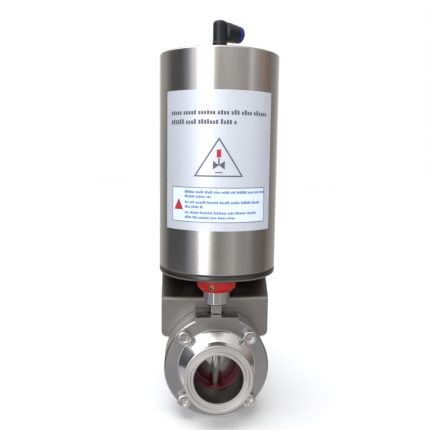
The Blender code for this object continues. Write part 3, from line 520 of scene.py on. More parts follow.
# Two tones for the turning marks, and one for the smudges.
BRIGHT = ((0.90, 0.89, 0.88), (0.78, 0.77, 0.76), (0.80, 0.785, 0.77))
POLISHED = ((0.68, 0.67, 0.66), (0.58, 0.57, 0.56), (0.60, 0.585, 0.57))
DULL = ((0.16, 0.15, 0.14), (0.12, 0.11, 0.10), (0.10, 0.09, 0.085))

LOOKS = {
    "brushed_stainless": brushed_shell(),
    "coupling": turned_steel("coupling_look", "Z", BRIGHT, (0.09, 0.16, 0.02), 0.3).material,
    "cover": turned_steel("cover_look", "Z", DULL, (0.20, 0.28, 0.03), 0.5).material,
    "disc": turned_steel("disc_look", "Y", POLISHED, (0.10, 0.18, 0.03), 0.2).material,
    "body": body_steel(),
    "sheet_stainless": sheet_steel(),
    "label_film": label_paper(),
}

# Colour, roughness, and the scale of the clouds of film on it.
STEELS = {
    "fastener_steel": ((0.70, 0.69, 0.68), 0.16, 240.0),
    "bronze": ((0.30, 0.17, 0.09), 0.24, 240.0),
    "inner_steel": ((0.58, 0.57, 0.56), 0.26, 120.0),
    "spring_steel": ((0.34, 0.34, 0.35), 0.34, 150.0),
    "aluminium": ((0.78, 0.78, 0.79), 0.32, 100.0),
    "nickelled_brass": ((0.74, 0.68, 0.55), 0.2, 240.0),
}

# Colour, deeper colour, roughness range, and the grain's scale and its depth in mm.
MOULDINGS = {
    "bush_plastic": ((0.78, 0.76, 0.66), (0.70, 0.67, 0.56), (0.42, 0.52), 1500.0, 0.004),
    "black_rubber": ((0.016, 0.016, 0.017), (0.03, 0.03, 0.031), (0.55, 0.7), 2200.0, 0.01),
    "seat_rubber": ((0.15, 0.006, 0.02), (0.10, 0.004, 0.014), (0.34, 0.46), 1800.0, 0.008),
    "red_plastic": ((0.42, 0.004, 0.006), (0.34, 0.003, 0.005), (0.24, 0.34), 1600.0, 0.006),
    "black_plastic": ((0.003, 0.0035, 0.006), (0.006, 0.007, 0.010), (0.3, 0.42), 1900.0, 0.008),
    "blue_plastic": ((0.016, 0.020, 0.20), (0.012, 0.015, 0.15), (0.22, 0.32), 1600.0, 0.005),
}

# Full colour, and colour where the print is thin.
INKS = {
    "ink_grey": ((0.07, 0.075, 0.085), (0.12, 0.125, 0.14)),
    "ink_blue": ((0.04, 0.10, 0.30), (0.08, 0.15, 0.38)),
    "ink_tint": ((0.56, 0.65, 0.80), (0.60, 0.68, 0.81)),
    "ink_red": ((0.34, 0.012, 0.025), (0.40, 0.03, 0.045)),
}
for table, maker in ((STEELS, plain_steel), (MOULDINGS, moulded), (INKS, ink)):
    for look_name, settings in table.items():
        LOOKS[look_name] = maker(f"{look_name}_look", *settings)


# Actuator housing

SHELL_BORE = 41.5 * MM
SHELL_CEILING_DEPTH = 6.0 * MM
PORT_RADIUS = 5.0 * MM
PORT_BOSS_RADIUS = 11.0 * MM
TOP_STEP = 0.35 * MM
SCREW_HOLE = 2.3 * MM


def make_shell():
    low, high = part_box("actuator_shell")
    radius, bottom, top = high.x, low.z, high.z
    profile = [
        (PORT_RADIUS, top, 0.3), (PORT_BOSS_RADIUS, top, 0.15),
        (PORT_BOSS_RADIUS + 0.6 * MM, top - TOP_STEP, 0.15),
        (radius - 5.0 * MM, top - TOP_STEP, 0.15), (radius - 4.4 * MM, top, 0.15),
        (radius, top, 1.3), (radius, bottom, 0.35), (SHELL_BORE, bottom, 0.3),
        (SHELL_BORE, top - SHELL_CEILING_DEPTH, 1.0), (PORT_RADIUS, top - SHELL_CEILING_DEPTH, 0.3),
    ]
    mesh = turned(profile, FINEST)
    piece("actuator_shell", mesh, "brushed_stainless", name="shell_fine")


def make_bottom_cover():
    low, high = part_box("bottom_cover")
    gasket_low, gasket_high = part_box("cover_gasket")
    radius, bottom, top = high.x, low.z, high.z
    rim_top = gasket_low.z - 0.15 * MM
    spigot, lip, seal, bush = 41.2 * MM, 9.9 * MM, 11.7 * MM, 12.2 * MM
    profile = [
        (bush, top, 0.3), (spigot, top, 0.6), (spigot, rim_top), (radius, rim_top, 0.25),
        (radius, bottom, 3.4), (lip, bottom, 0.3), (lip, bottom + 1.7 * MM),
        (seal, bottom + 1.7 * MM), (seal, bottom + 4.9 * MM), (bush, bottom + 4.9 * MM),
    ]
    holes = []
    for node in cover_screws():
        holes.append(cylinder(SCREW_HOLE, 60 * MM, 80 * MM, screw_axis(node), 32))
    mesh = cut(turned(profile, FINEST), *holes)
    piece("bottom_cover", mesh, "cover")
    ring = [
        (spigot + 0.5 * MM, gasket_high.z, 0.1), (radius - 0.15 * MM, gasket_high.z, 0.3),
        (radius - 0.15 * MM, gasket_low.z, 0.3), (spigot + 0.5 * MM, gasket_low.z, 0.1),
    ]
    piece("cover_gasket", turned(ring, FINEST), "black_rubber")


def cover_screws():
    return [f"cover_screw_{number}" for number in range(1, 5)]


def screw_axis(node):
    low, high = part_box(node)
    return Matrix.Translation(((low.x + high.x) / 2, (low.y + high.y) / 2, 0))


def make_cover_screws():
    """Countersunk screws with a hexagon socket, up through the bracket's top plate."""
    for node in cover_screws():
        low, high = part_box(node)
        head, shank, floor = (high.x - low.x) / 2, 2.0 * MM, low.z
        profile = [
            (0, floor), (head - 0.2 * MM, floor, 0.15), (head, floor + 0.3 * MM, 0.1),
            (shank, floor + 2.0 * MM, 0.2),
            *thread(shank, floor + 3.0 * MM, high.z - 0.5 * MM, 0.7 * MM),
            (shank - 0.5 * MM, high.z), (0, high.z),
        ]
        matrix = screw_axis(node)
        socket = cylinder(1.45 * MM, floor - MM, floor + 1.2 * MM, matrix, 6)
        piece(node, cut(turned(profile, 48, matrix), socket), "fastener_steel")


def thread(radius, low, high, pitch):
    """The zigzag of a screw thread in a turned profile, from one height to the other."""
    depth = 0.3 * pitch * (1 if high > low else -1)
    count = max(1, int(abs(high - low) / pitch))
    step = (high - low) / count
    points = []
    for i in range(count):
        base = low + i * step
        points += [(radius, base), (radius - abs(depth), base + step / 2)]
    return points + [(radius, high)]


# Bracket

BOLT_HOLE = 3.3 * MM
BEND_RADIUS = 3.0 * MM
BEND_STEPS = 10
BEND_SLOPE = 0.92
SET_BACK = 17.0 * MM
CORNER_RADIUS = 5.0 * MM
NOTCH_RADIUS = 29.8 * MM
SHAFT_HOLE = 11.5 * MM
TONGUE_RADIUS = 30.5 * MM
WING_Y = 8.0 * MM
COUNTERSINK = 4.1 * MM


def bent_strip(path, thickness, bend_radius):
    """The outline of a sheet of one thickness, bent at each inner point of its centre line."""
    left, right = [], []
    points = [Vector(point) for point in path]
    for i, point in enumerate(points):
        before = (point - points[i - 1]).normalized() if i else None
        after = (points[i + 1] - point).normalized() if i + 1 < len(points) else None
        if before is None or after is None:
            run = before or after
            normal = Vector((-run.y, run.x))
            left.append(point + normal * thickness / 2)
            right.append(point - normal * thickness / 2)
            continue
        turn = before.angle_signed(after)
        side = -1 if turn > 0 else 1
        radius = bend_radius + thickness / 2
        start = point - before * radius * tan(abs(turn) / 2)
        centre = start + Vector((-before.y, before.x)) * radius * side
        first = atan2(*(start - centre).yx)
        for step in range(BEND_STEPS + 1):
            spoke = Vector(polar(1, first - turn * step / BEND_STEPS).xy)
            inner = centre + spoke * (radius - thickness / 2)
            outer = centre + spoke * (radius + thickness / 2)
            left.append(inner if side > 0 else outer)
            right.append(outer if side > 0 else inner)
    return [tuple(point) for point in left + right[::-1]]


def make_bracket():
    low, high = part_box("bracket")
    width, sheet = high.x, 3.0 * MM
    bottom, top = low.z, high.z
    web_y = high.y - sheet / 2
    lower_y = web_y - SET_BACK
    path = [
        (lower_y, bottom - 10 * MM), (lower_y, BEND_Z),
        (web_y, BEND_Z + (web_y - lower_y) * BEND_SLOPE), (web_y, top - sheet / 2),
        (-60 * MM, top - sheet / 2),
    ]
    to_side = Matrix(((0, 0, 1, 0), (1, 0, 0, 0), (0, 1, 0, 0), (0, 0, 0, 1)))
    mesh = plate(bent_strip(path, sheet, BEND_RADIUS), -width - 5 * MM, width + 5 * MM, to_side)
    right = arc((width - CORNER_RADIUS, bottom + CORNER_RADIUS), CORNER_RADIUS, -90, 0, 12)
    right.append((width, top + 5 * MM))
    left = [(-x, z) for x, z in right[::-1]]
    mouth = degrees(asin(bottom / NOTCH_RADIUS))
    front = right + left + arc((0, 0), NOTCH_RADIUS, 180 - mouth, mouth, 72)
    side, rise = width + 2 * MM, degrees(asin(WING_Y / TONGUE_RADIUS))
    tongue = arc((0, 0), TONGUE_RADIUS, 180 - rise, 360 + rise, 96)
    plan = [(-side, 60 * MM), (-side, WING_Y)] + tongue + [(side, WING_Y), (side, 60 * MM)]
    mesh = combined(mesh, "INTERSECT", plate(front, -100 * MM, 100 * MM, TO_FRONT))
    mesh = combined(mesh, "INTERSECT", plate(plan, -100 * MM, 150 * MM))
    holes = [cylinder(SHAFT_HOLE, 60 * MM, 90 * MM, None, 96)]
    for number in (1, 2):
        holes.append(cylinder(BOLT_HOLE, 5 * MM, 25 * MM, bolt_axis(number) @ TO_REAR, 48))
    for node in cover_screws():
        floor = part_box(node)[0].z
        profile = [
            (0, floor - MM), (COUNTERSINK, floor - MM), (COUNTERSINK, floor + 0.2 * MM),
            (SCREW_HOLE, floor + 2.0 * MM), (SCREW_HOLE, top + MM), (0, top + MM),
        ]
        holes.append(turned(profile, 48, screw_axis(node)))
    mesh = bevelled(cut(mesh, *holes), 0.35 * MM, 3, 40, clamp=False)
    piece("bracket", mesh, "sheet_stainless")


# Valve body

BODY_BORE = 17.9 * MM
SEAT_POCKET_RADIUS = 24.5 * MM
SEAT_POCKET_Y = 11.8 * MM
HUB_RADIUS = 29.2 * MM
NECK_RADIUS = 20.6 * MM
FERRULE_RADIUS = 25.25 * MM
FERRULE_RIM = 2.2 * MM
GROOVE_RADIUS = 21.5 * MM
PAD_HALF_WIDTH = 16.65 * MM
PAD_TOP = 38.9 * MM
SPOT_FACE_RADIUS = 6.2 * MM
SPOT_FACE_DEPTH = 0.4 * MM
FLANGE_Y = 13.0 * MM
SEAT_BORE = 17.2 * MM
UPPER_STEM_BORE = 6.0 * MM
LOWER_STEM_BORE = 5.1 * MM


def bolt_axis(number):
    low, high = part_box(f"body_bolt_{number}")
    return Matrix.Translation(((low.x + high.x) / 2, 0, (low.z + high.z) / 2))


def body_profile(flange, face):
    """Radius and distance from the split plane, of either half."""
    back = face - FERRULE_RIM
    taper = (FERRULE_RADIUS - NECK_RADIUS) * tan(radians(20))
    groove_floor, groove_edge = face - 1.4 * MM, 1.5 * MM
    return [
        (SEAT_POCKET_RADIUS, GAP / 2), (flange, GAP / 2, 0.25), (flange, FLANGE_Y - 1.0 * MM, 0.2),
        (flange - 1.0 * MM, FLANGE_Y, 0.2), (HUB_RADIUS + 0.75 * MM, FLANGE_Y, 0.12),
        (HUB_RADIUS + 0.6 * MM, FLANGE_Y - 0.5 * MM, 0.1), (HUB_RADIUS, FLANGE_Y - 0.5 * MM, 0.1),
        (HUB_RADIUS, FLANGE_Y + 0.3 * MM, 0.4), (HUB_RADIUS - 0.8 * MM, FLANGE_Y + 1.2 * MM, 0.5),
        (NECK_RADIUS + 1.8 * MM, FLANGE_Y + 6.4 * MM, 1.6), (NECK_RADIUS, FLANGE_Y + 8.6 * MM, 1.6),
        (NECK_RADIUS, back - taper, 1.2), (FERRULE_RADIUS, back, 0.5), (FERRULE_RADIUS, face, 0.4),
        (GROOVE_RADIUS + groove_edge, face, 0.25), (GROOVE_RADIUS + 0.9 * MM, groove_floor, 0.4),
        (GROOVE_RADIUS - 0.9 * MM, groove_floor, 0.4), (GROOVE_RADIUS - groove_edge, face, 0.25),
        (BODY_BORE, face, 0.6), (BODY_BORE, SEAT_POCKET_Y, 0.2),
        (SEAT_POCKET_RADIUS, SEAT_POCKET_Y),
    ]


def make_body_halves():
    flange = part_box("front_body_half")[1].x
    face = -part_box("front_body_half")[0].y
    for name, side, turn in (("front", -1, TO_FRONT), ("rear", 1, TO_REAR)):
        mesh = turned(body_profile(flange, face), FINE, turn)
        near, far = sorted((side * GAP / 2, side * FLANGE_Y))
        pad = block((-PAD_HALF_WIDTH, near, 26 * MM), (PAD_HALF_WIDTH, far, PAD_TOP))
        mesh = joined(mesh, bevelled(pad, 0.5 * MM, 3))
        cutters = [
            block((-50 * MM, -20 * MM, PAD_TOP), (50 * MM, 20 * MM, 60 * MM)),
            cylinder(UPPER_STEM_BORE, 20 * MM, 45 * MM),
            cylinder(LOWER_STEM_BORE, -34.5 * MM, -20 * MM),
        ]
        for number in range(1, 5):
            axis = bolt_axis(number) @ turn
            cutters.append(cylinder(BOLT_HOLE, -MM, 30 * MM, axis, 48))
            if side < 0:
                floor = FLANGE_Y - SPOT_FACE_DEPTH
                cutters.append(cylinder(SPOT_FACE_RADIUS, floor, 30 * MM, axis, SMALL))
        mesh = cut(mesh, *cutters)
        piece(f"{name}_body_half", mesh, "body")


def make_seat():
    """A rubber ring with rounded lips and holes for the two ends of the stem."""
    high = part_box("seat_ring")[1]
    outer, half, bore = high.x, high.y, SEAT_BORE
    profile = [
        (bore, -half, 0.8), (outer, -half, 0.3), (outer, half, 0.3), (bore, half, 0.8),
    ]
    upper = cylinder(STEM_RADIUS + STEM_PLAY, 10 * MM, 30 * MM)
    lower = cylinder(TRUNNION_RADIUS + STEM_PLAY, -30 * MM, -10 * MM)
    mesh = cut(turned(profile, FINE, TO_FRONT), upper, lower)
    piece("seat_ring", mesh, "seat_rubber")


# The stem is one piece with the disc.
STEM_RADIUS = 5.0 * MM
TRUNNION_RADIUS = 4.2 * MM
STEM_PLAY = 0.15 * MM
STEM_STEP = -16.2 * MM
SQUARE_FROM = 36.3 * MM
SQUARE_HALF = 4 * MM
DISC_RADIUS = 16.85 * MM
RIM_STEP = 0.12 * MM  # how far the edge of each face is inside the rim
RIM_FROM = 0.93  # the share of the radius where the faces begin to close
RIM_CLOSING = 0.12
DISC_RINGS = 44
RIM_HALF = 1.1 * MM
CENTRE_HALF = 4.5 * MM
BARREL_RADIUS = 4.9 * MM
BLEND = 1.2 * MM
TURNING_RADIUS = 16.95 * MM  # the disc stays inside this sphere, so that it turns in the seat


def smooth_max(first, second, blend):
    share = max(0.0, blend - abs(first - second)) / blend
    return max(first, second) + share * share * blend * 0.25


def disc_half_thickness(x, radius):
    """A shallow dish that swells into the barrel that holds the stem."""
    share = radius / DISC_RADIUS
    dish = RIM_HALF + (CENTRE_HALF - RIM_HALF) * (1 - share**2)
    barrel = sqrt(max(0.0, BARREL_RADIUS**2 - x * x))
    blended = smooth_max(dish, barrel, BLEND)
    near_rim = max(0.0, share - RIM_FROM) / (1 - RIM_FROM)
    room = sqrt(TURNING_RADIUS**2 - radius**2)
    return min(blended * (1 - near_rim * RIM_CLOSING), room)


def disc_body():
    """Front and back faces on rings of points, joined round a narrow rim."""
    angles = [2 * pi * i / FINE for i in range(FINE)]
    work = bmesh.new()
    layers = []
    for side in (-1, 1):
        rows = [[work.verts.new((0, side * disc_half_thickness(0, 0), 0))]]
        for step in range(1, DISC_RINGS + 1):
            radius = (DISC_RADIUS - RIM_STEP) * sin(pi / 2 * step / DISC_RINGS)
            row = []
            for angle in angles:
                x, z = polar(radius, angle).xy
                row.append(work.verts.new((x, side * disc_half_thickness(x, radius), z)))
            rows.append(row)
        layers.append(rows)
    places = [polar(DISC_RADIUS, angle) for angle in angles]
    rim = [work.verts.new((place.x, 0, place.y)) for place in places]
    bands = [pair for rows in layers for pair in zip(rows, rows[1:])]
    bands += [(layers[0][-1], rim), (rim, layers[1][-1])]
    for ring, next_ring in bands:
        bridge(work, ring, next_ring, FINE)
    return finished(work)


def make_disc():
    low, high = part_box("disc")
    upper = [
        (0, 12 * MM), (STEM_RADIUS, 12 * MM), (STEM_RADIUS, SQUARE_FROM, 0.4), (0, SQUARE_FROM),
    ]
    lower = [
        (0, -10 * MM), (STEM_RADIUS, -10 * MM), (STEM_RADIUS, STEM_STEP, 0.3),
        (TRUNNION_RADIUS, STEM_STEP), (TRUNNION_RADIUS, low.z, 0.5), (0, low.z),
    ]
    start, end = (-SQUARE_HALF, -SQUARE_HALF, SQUARE_FROM - MM), (SQUARE_HALF, SQUARE_HALF, high.z)
    square = bevelled(block(start, end), 0.35 * MM, 3)
    mesh = joined(disc_body(), turned(upper, SMALL), turned(lower, SMALL), square)
    piece("disc", mesh, "disc", "drive_train")


def make_bolts():
    """Socket cap screws, washers and nuts through the flanges."""
    for number in range(1, 5):
        node = f"body_bolt_{number}"
        low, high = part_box(node)
        axis = bolt_axis(number)
        head_radius, top, end = (high.x - low.x) / 2, -low.y, -high.y
        base, shank = top - 6.0 * MM, 3.0 * MM
        profile = [
            (0, top), (head_radius, top, 0.9), (head_radius, base, 0.3), (shank, base, 0.2),
            *thread(shank, base - 4 * MM, end + 0.6 * MM, 1.0 * MM),
            (shank - 0.5 * MM, end), (0, end),
        ]
        way = axis @ TO_FRONT
        socket = bevelled(cylinder(2.9 * MM, top - 3.0 * MM, top + MM, way, 6), 0.15 * MM)
        inner, outer = top - 0.35 * MM, top + 0.1 * MM
        rim = turned([(0, inner), (2.6 * MM, inner), (3.2 * MM, outer), (0, outer)], SMALL, way)
        piece(node, cut(turned(profile, SMALL, way), socket, rim), "fastener_steel")
        make_washer(f"body_washer_{number}", axis @ TO_REAR)
        make_nut(f"body_nut_{number}", axis @ TO_REAR)


def make_washer(node, matrix):
    low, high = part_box(node)
    outer, inner = (high.x - low.x) / 2, 3.2 * MM
    profile = [
        (inner, low.y, 0.15), (outer, low.y, 0.3), (outer, high.y, 0.3), (inner, high.y, 0.15),
    ]
    piece(node, turned(profile, SMALL, matrix), "fastener_steel")


def chamfered(end_radius, radius, low, high, rise):
    """A solid with both rims chamfered, which limits the corners of a hexagon."""
    ends = [(end_radius, low), (radius, low + rise), (radius, high - rise), (end_radius, high)]
    return turned([(0, low), *ends, (0, high)], SMALL)


def make_nut(node, matrix):
    low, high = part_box(node)
    corner = (high.x - low.x) / 2
    near, far = low.y, high.y
    mesh = cylinder(corner, near, far, None, 6)
    limit = chamfered(corner - 0.8 * MM, corner + 0.05 * MM, near, far, 0.48 * MM)
    mesh = combined(mesh, "INTERSECT", limit)
    radius = 3.5 * MM
    ridges = thread(radius, near, far, 1.0 * MM)
    hole = [(0, near - MM), (radius, near - MM), *ridges, (radius, far + MM), (0, far + MM)]
    mesh = cut(mesh, turned(hole, SMALL))
    mesh.transform(matrix)
    piece(node, mesh, "fastener_steel")


# Coupling and indicator

COUPLING_SIDES = 12
COUPLING_NECK = 8.7 * MM
COUPLING_CHAMFER = 1.6 * MM
SOCKET_HALF = 4.35 * MM
SET_SCREW_AZIMUTH = radians(-109)
SET_SCREW_RADIUS = 2.4 * MM


def make_coupling():
    """A twelve-sided drive piece with a round neck that carries the indicator."""
    low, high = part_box("drive_coupling")
    hub_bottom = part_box("indicator_hub")[0].z
    corner = 10.3 * MM
    turn = radians(15)
    mesh = cylinder(corner, low.z, hub_bottom - GAP, None, COUPLING_SIDES, turn)
    blank = [
        (0, low.z), (corner - COUPLING_CHAMFER, low.z),
        (corner + MM, low.z + COUPLING_CHAMFER + 0.6 * MM), (corner + MM, hub_bottom),
        (0, hub_bottom),
    ]
    mesh = combined(mesh, "INTERSECT", turned(blank, FINE))
    mesh = bevelled(mesh, 0.3 * MM, 3, 25, clamp=False)
    mesh = joined(mesh, cylinder(COUPLING_NECK, hub_bottom - 3 * MM, high.z, None, 96))
    socket = block((-SOCKET_HALF, -SOCKET_HALF, 40 * MM), (SOCKET_HALF, SOCKET_HALF, 80 * MM))
    mesh = cut(mesh, socket)
    piece("drive_coupling", mesh, "coupling", "drive_train", sharp=22)


def make_indicator():
    low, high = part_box("indicator_hub")
    radius, chamfer, bore = high.x, 3.4 * MM, COUPLING_NECK + GAP
    profile = [
        (bore, high.z, 0.3), (radius, high.z, 0.7), (radius, low.z + chamfer, 0.7),
        (radius - chamfer, low.z, 0.7), (bore, low.z, 0.3),
    ]
    mesh = turned(profile, FINE)
    screw_low, screw_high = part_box("hub_set_screw")
    matrix = along(polar(1, SET_SCREW_AZIMUTH), (0, 0, (screw_low.z + screw_high.z) / 2))
    mesh = cut(mesh, cylinder(SET_SCREW_RADIUS + 0.25 * MM, 5 * MM, 20 * MM, matrix, 48))
    piece("indicator_hub", mesh, "red_plastic", "drive_train")
    inner, outer = 9.2 * MM, 14.4 * MM
    screw = [
        (0, outer), (SET_SCREW_RADIUS, outer, 0.35), (SET_SCREW_RADIUS, inner, 0.4), (0, inner),
    ]
    mesh = turned(screw, 48, matrix)
    mesh = cut(mesh, cylinder(1.5 * MM, 12.0 * MM, 16 * MM, matrix, 6))
    piece("hub_set_screw", mesh, "bronze", "drive_train")


# Air inlet elbow

BRANCH_AZIMUTH = radians(40)
BRANCH_Z = 252.0 * MM
BRANCH_RADIUS = 7.2 * MM
BRANCH_LENGTH = 16.0 * MM
BRANCH_BORE = 5.8 * MM
BRANCH_STEP = 9.6 * MM
ELBOW_RADIUS = 5.15 * MM
COLLAR_RADIUS = 5.4 * MM
ELBOW_BORE = 4.3 * MM
TUBE_STOP = 5.0 * MM
TUBE_RADIUS = 4.15 * MM
HEX_ACROSS = 13.0 * MM
STUD_BORE = 2.2 * MM


def make_stud():
    low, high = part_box("elbow_stud")
    shell_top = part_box("actuator_shell")[1].z
    hex_low, hex_high = shell_top + GAP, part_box("elbow_body")[0].z - 0.6 * MM
    corner = HEX_ACROSS / sqrt(3)
    hexagon = cylinder(corner, hex_low, hex_high, None, 6, radians(10))
    limit = chamfered(corner - 0.7 * MM, corner, hex_low, hex_high, 0.5 * MM)
    hexagon = combined(hexagon, "INTERSECT", limit)
    neck, groove = 4.0 * MM, 3.2 * MM
    spindle = [
        (0, high.z), (neck, high.z, 0.4), (neck, high.z - 1.8 * MM, 0.1),
        (groove, high.z - 1.8 * MM), (groove, high.z - 3.7 * MM), (neck, high.z - 3.7 * MM, 0.1),
        (neck, hex_low + 2 * MM),
        *thread(4.7 * MM, hex_low, low.z + 0.5 * MM, 1.0 * MM),
        (4.2 * MM, low.z), (0, low.z),
    ]
    mesh = joined(hexagon, turned(spindle, SMALL))
    mesh = cut(mesh, cylinder(STUD_BORE, low.z - MM, high.z + MM))
    piece("elbow_stud", mesh, "nickelled_brass")


def make_elbow():
    """A moulded body: the barrels are joined, made one skin and softened, then bored."""
    low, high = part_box("elbow_body")
    top, bottom = high.z, low.z
    upright = [
        (0, top), (ELBOW_RADIUS, top, 3.0), (ELBOW_RADIUS, bottom + 3.4 * MM),
        (COLLAR_RADIUS, bottom + 3.0 * MM), (COLLAR_RADIUS, bottom, 0.4), (0, bottom),
    ]
    barrel = [
        (0, BRANCH_LENGTH), (BRANCH_RADIUS - 0.45 * MM, BRANCH_LENGTH, 1.4),
        (BRANCH_RADIUS - 0.35 * MM, BRANCH_STEP + 0.4 * MM, 0.3), (BRANCH_RADIUS, BRANCH_STEP, 0.6),
        (BRANCH_RADIUS, 4 * MM, 1.8), (BRANCH_RADIUS - 2.4 * MM, 2.6 * MM, 0.5), (0, 2.6 * MM),
    ]
    branch = along(polar(1, BRANCH_AZIMUTH), (0, 0, BRANCH_Z))
    mesh = joined(turned(upright, 96), turned(barrel, 96, branch))
    mesh = modified(
        mesh,
        ("REMESH", {"mode": "VOXEL", "voxel_size": 0.2 * MM}),
        ("SMOOTH", {"factor": 0.5, "iterations": 4}),
    )
    bore = [
        (0, BRANCH_LENGTH + MM), (BRANCH_BORE + 0.5 * MM, BRANCH_LENGTH + MM),
        (BRANCH_BORE, BRANCH_LENGTH - 0.3 * MM), (BRANCH_BORE, TUBE_STOP + 2 * MM),
        (ELBOW_BORE, TUBE_STOP + 2 * MM), (ELBOW_BORE, TUBE_STOP), (3 * MM, TUBE_STOP), (3 * MM, 0),
        (0, 0),
    ]
    stud_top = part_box("elbow_stud")[1].z
    upright_bore = cylinder(ELBOW_BORE, bottom - MM, stud_top + 2 * MM)
    mesh = cut(mesh, turned(bore, SMALL, branch), upright_bore)
    piece("elbow_body", mesh, "black_plastic", "elbow", sharp=50)
    make_release_ring(branch)


def make_release_ring(branch):
    """The push ring with its rounded flange, and the collet that grips the tube inside it."""
    flange_low, flange_high, flange_radius = 17.2 * MM, 20.4 * MM, 6.3 * MM
    sleeve, inner_end = BRANCH_BORE - GAP, 13.3 * MM
    profile = [
        (TUBE_RADIUS, flange_high - 0.5 * MM, 0.2), (TUBE_RADIUS + 0.6 * MM, flange_high, 0.3),
        (flange_radius, flange_high, 1.1), (flange_radius, flange_low, 0.4),
        (sleeve, flange_low, 0.1), (sleeve, inner_end, 0.2), (TUBE_RADIUS, inner_end, 0.2),
    ]
    piece("release_ring", turned(profile, 96, branch), "blue_plastic", "release")
    low, high = 9.7 * MM, 12.0 * MM
    teeth = [
        (TUBE_RADIUS, high, 0.1), (sleeve + 0.1 * MM, high, 0.2), (sleeve + 0.1 * MM, low, 0.2),
        (TUBE_RADIUS + 0.3 * MM, low, 0.1),
    ]
    piece("grip_collet", turned(teeth, 48, branch), "fastener_steel", "elbow")


# Label and its print

LABEL_THICKNESS = 0.25 * MM
PRINT_THICKNESS = 0.02 * MM
WRAP_STEP = 1.2 * MM
LABEL_FROM = radians(-58)
LABEL_TO = radians(51)
LABEL_CORNER = 0.6 * MM
MM_PER_DEGREE = 0.776  # along the print, so that upright lines look as wide as level ones

# The note's rows: height in mm, and where each ends, in degrees from the front.
NOTE_ROWS = (
    (136.2, 42.8), (133.1, -7.8), (129.1, 37.4), (125.9, -17.0), (122.0, 34.9), (118.7, 12.9),
)


def wrapped(shapes, radius, thickness):
    """Flat polygons of (angle from the front in degrees, height in mm), laid round the shell."""
    work = bmesh.new()
    for shape in shapes:
        corners = [(radians(angle) * radius, height * MM, 0) for angle, height in shape]
        work.faces.new([work.verts.new(corner) for corner in corners])
    reach = pi * radius
    for step in range(int(-reach / WRAP_STEP), int(reach / WRAP_STEP) + 1):
        every = work.verts[:] + work.edges[:] + work.faces[:]
        cut_at = (step * WRAP_STEP, 0, 0)
        bmesh.ops.bisect_plane(work, geom=every, dist=TINY, plane_co=cut_at, plane_no=(1, 0, 0))
    for face in work.faces:
        if face.normal.z < 0:
            face.normal_flip()
    for vert in work.verts:
        angle = vert.co.x / radius
        vert.co = (radius * sin(angle), -radius * cos(angle), vert.co.y)
    mesh = bpy.data.meshes.new("wrapped")
    work.normal_update()
    work.to_mesh(mesh)
    work.free()
    outward = mesh.polygons[0].normal.dot(Vector((*mesh.polygons[0].center.xy, 0))) > 0
    offset = 1 if outward else -1
    return modified(mesh, ("SOLIDIFY", {"thickness": thickness, "offset": offset}))


def rectangle(left, right, low, high):
    return [(left, low), (right, low), (right, high), (left, high)]


def frame_lines(left, right, low, high, width):
    """A rectangle drawn as four lines; the width is in mm."""
    side = width / MM_PER_DEGREE
    return [
        rectangle(left, right, low, low + width),
        rectangle(left, right, high - width, high),
        rectangle(left, left + side, low + width, high - width),
        rectangle(right - side, right, low + width, high - width),
    ]


def triangle_lines(apex, base_left, base_right, share):
    """A triangle outline as three bars between it and a smaller one inside it."""
    outer = [Vector(apex), Vector(base_right), Vector(base_left)]
    centre = sum(outer, Vector((0, 0))) / 3
    inner = [centre + (corner - centre) * (1 - share) for corner in outer]
    bars = []
    for i in range(3):
        j = (i + 1) % 3
        bars.append([tuple(outer[i]), tuple(outer[j]), tuple(inner[j]), tuple(inner[i])])
    return bars


def word_row(rng, left, right, middle, height, tick, gap):
    """A row of short bars in groups, like a line of print seen from far off."""
    shapes = []
    angle = left
    while angle < right - tick:
        for _ in range(rng.randint(3, 8)):
            if angle > right - tick:
                break
            tall = height * rng.choice((0.7, 0.7, 1.0, 0.85))
            low = middle - height / 2
            shapes.append(rectangle(angle, angle + tick, low, low + tall))
            angle += tick + gap
        angle += gap * 2.2
    return shapes


def make_label():
    low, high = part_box("label")
    top, bottom = high.z / MM, low.z / MM
    shell_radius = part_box("actuator_shell")[1].x
    inner = shell_radius + 0.2 * MM
    left, right = degrees(LABEL_FROM), degrees(LABEL_TO)
    corner = LABEL_CORNER / MM
    corner_angle = degrees(LABEL_CORNER / inner)
    outline = []
    for x, z, start in ((right, top, 0), (left, top, 90), (left, bottom, 180), (right, bottom, 270)):
        x_in = x - corner_angle if x > 0 else x + corner_angle
        z_in = z - corner if z > (top + bottom) / 2 else z + corner
        for unit_x, unit_z in arc((0, 0), 1, start, start + 90, 5):
            outline.append((x_in + corner_angle * unit_x, z_in + corner * unit_z))
    mesh = wrapped([outline], inner, LABEL_THICKNESS)
    piece("label", mesh, "label_film", sharp=60)
    make_print(inner + LABEL_THICKNESS)


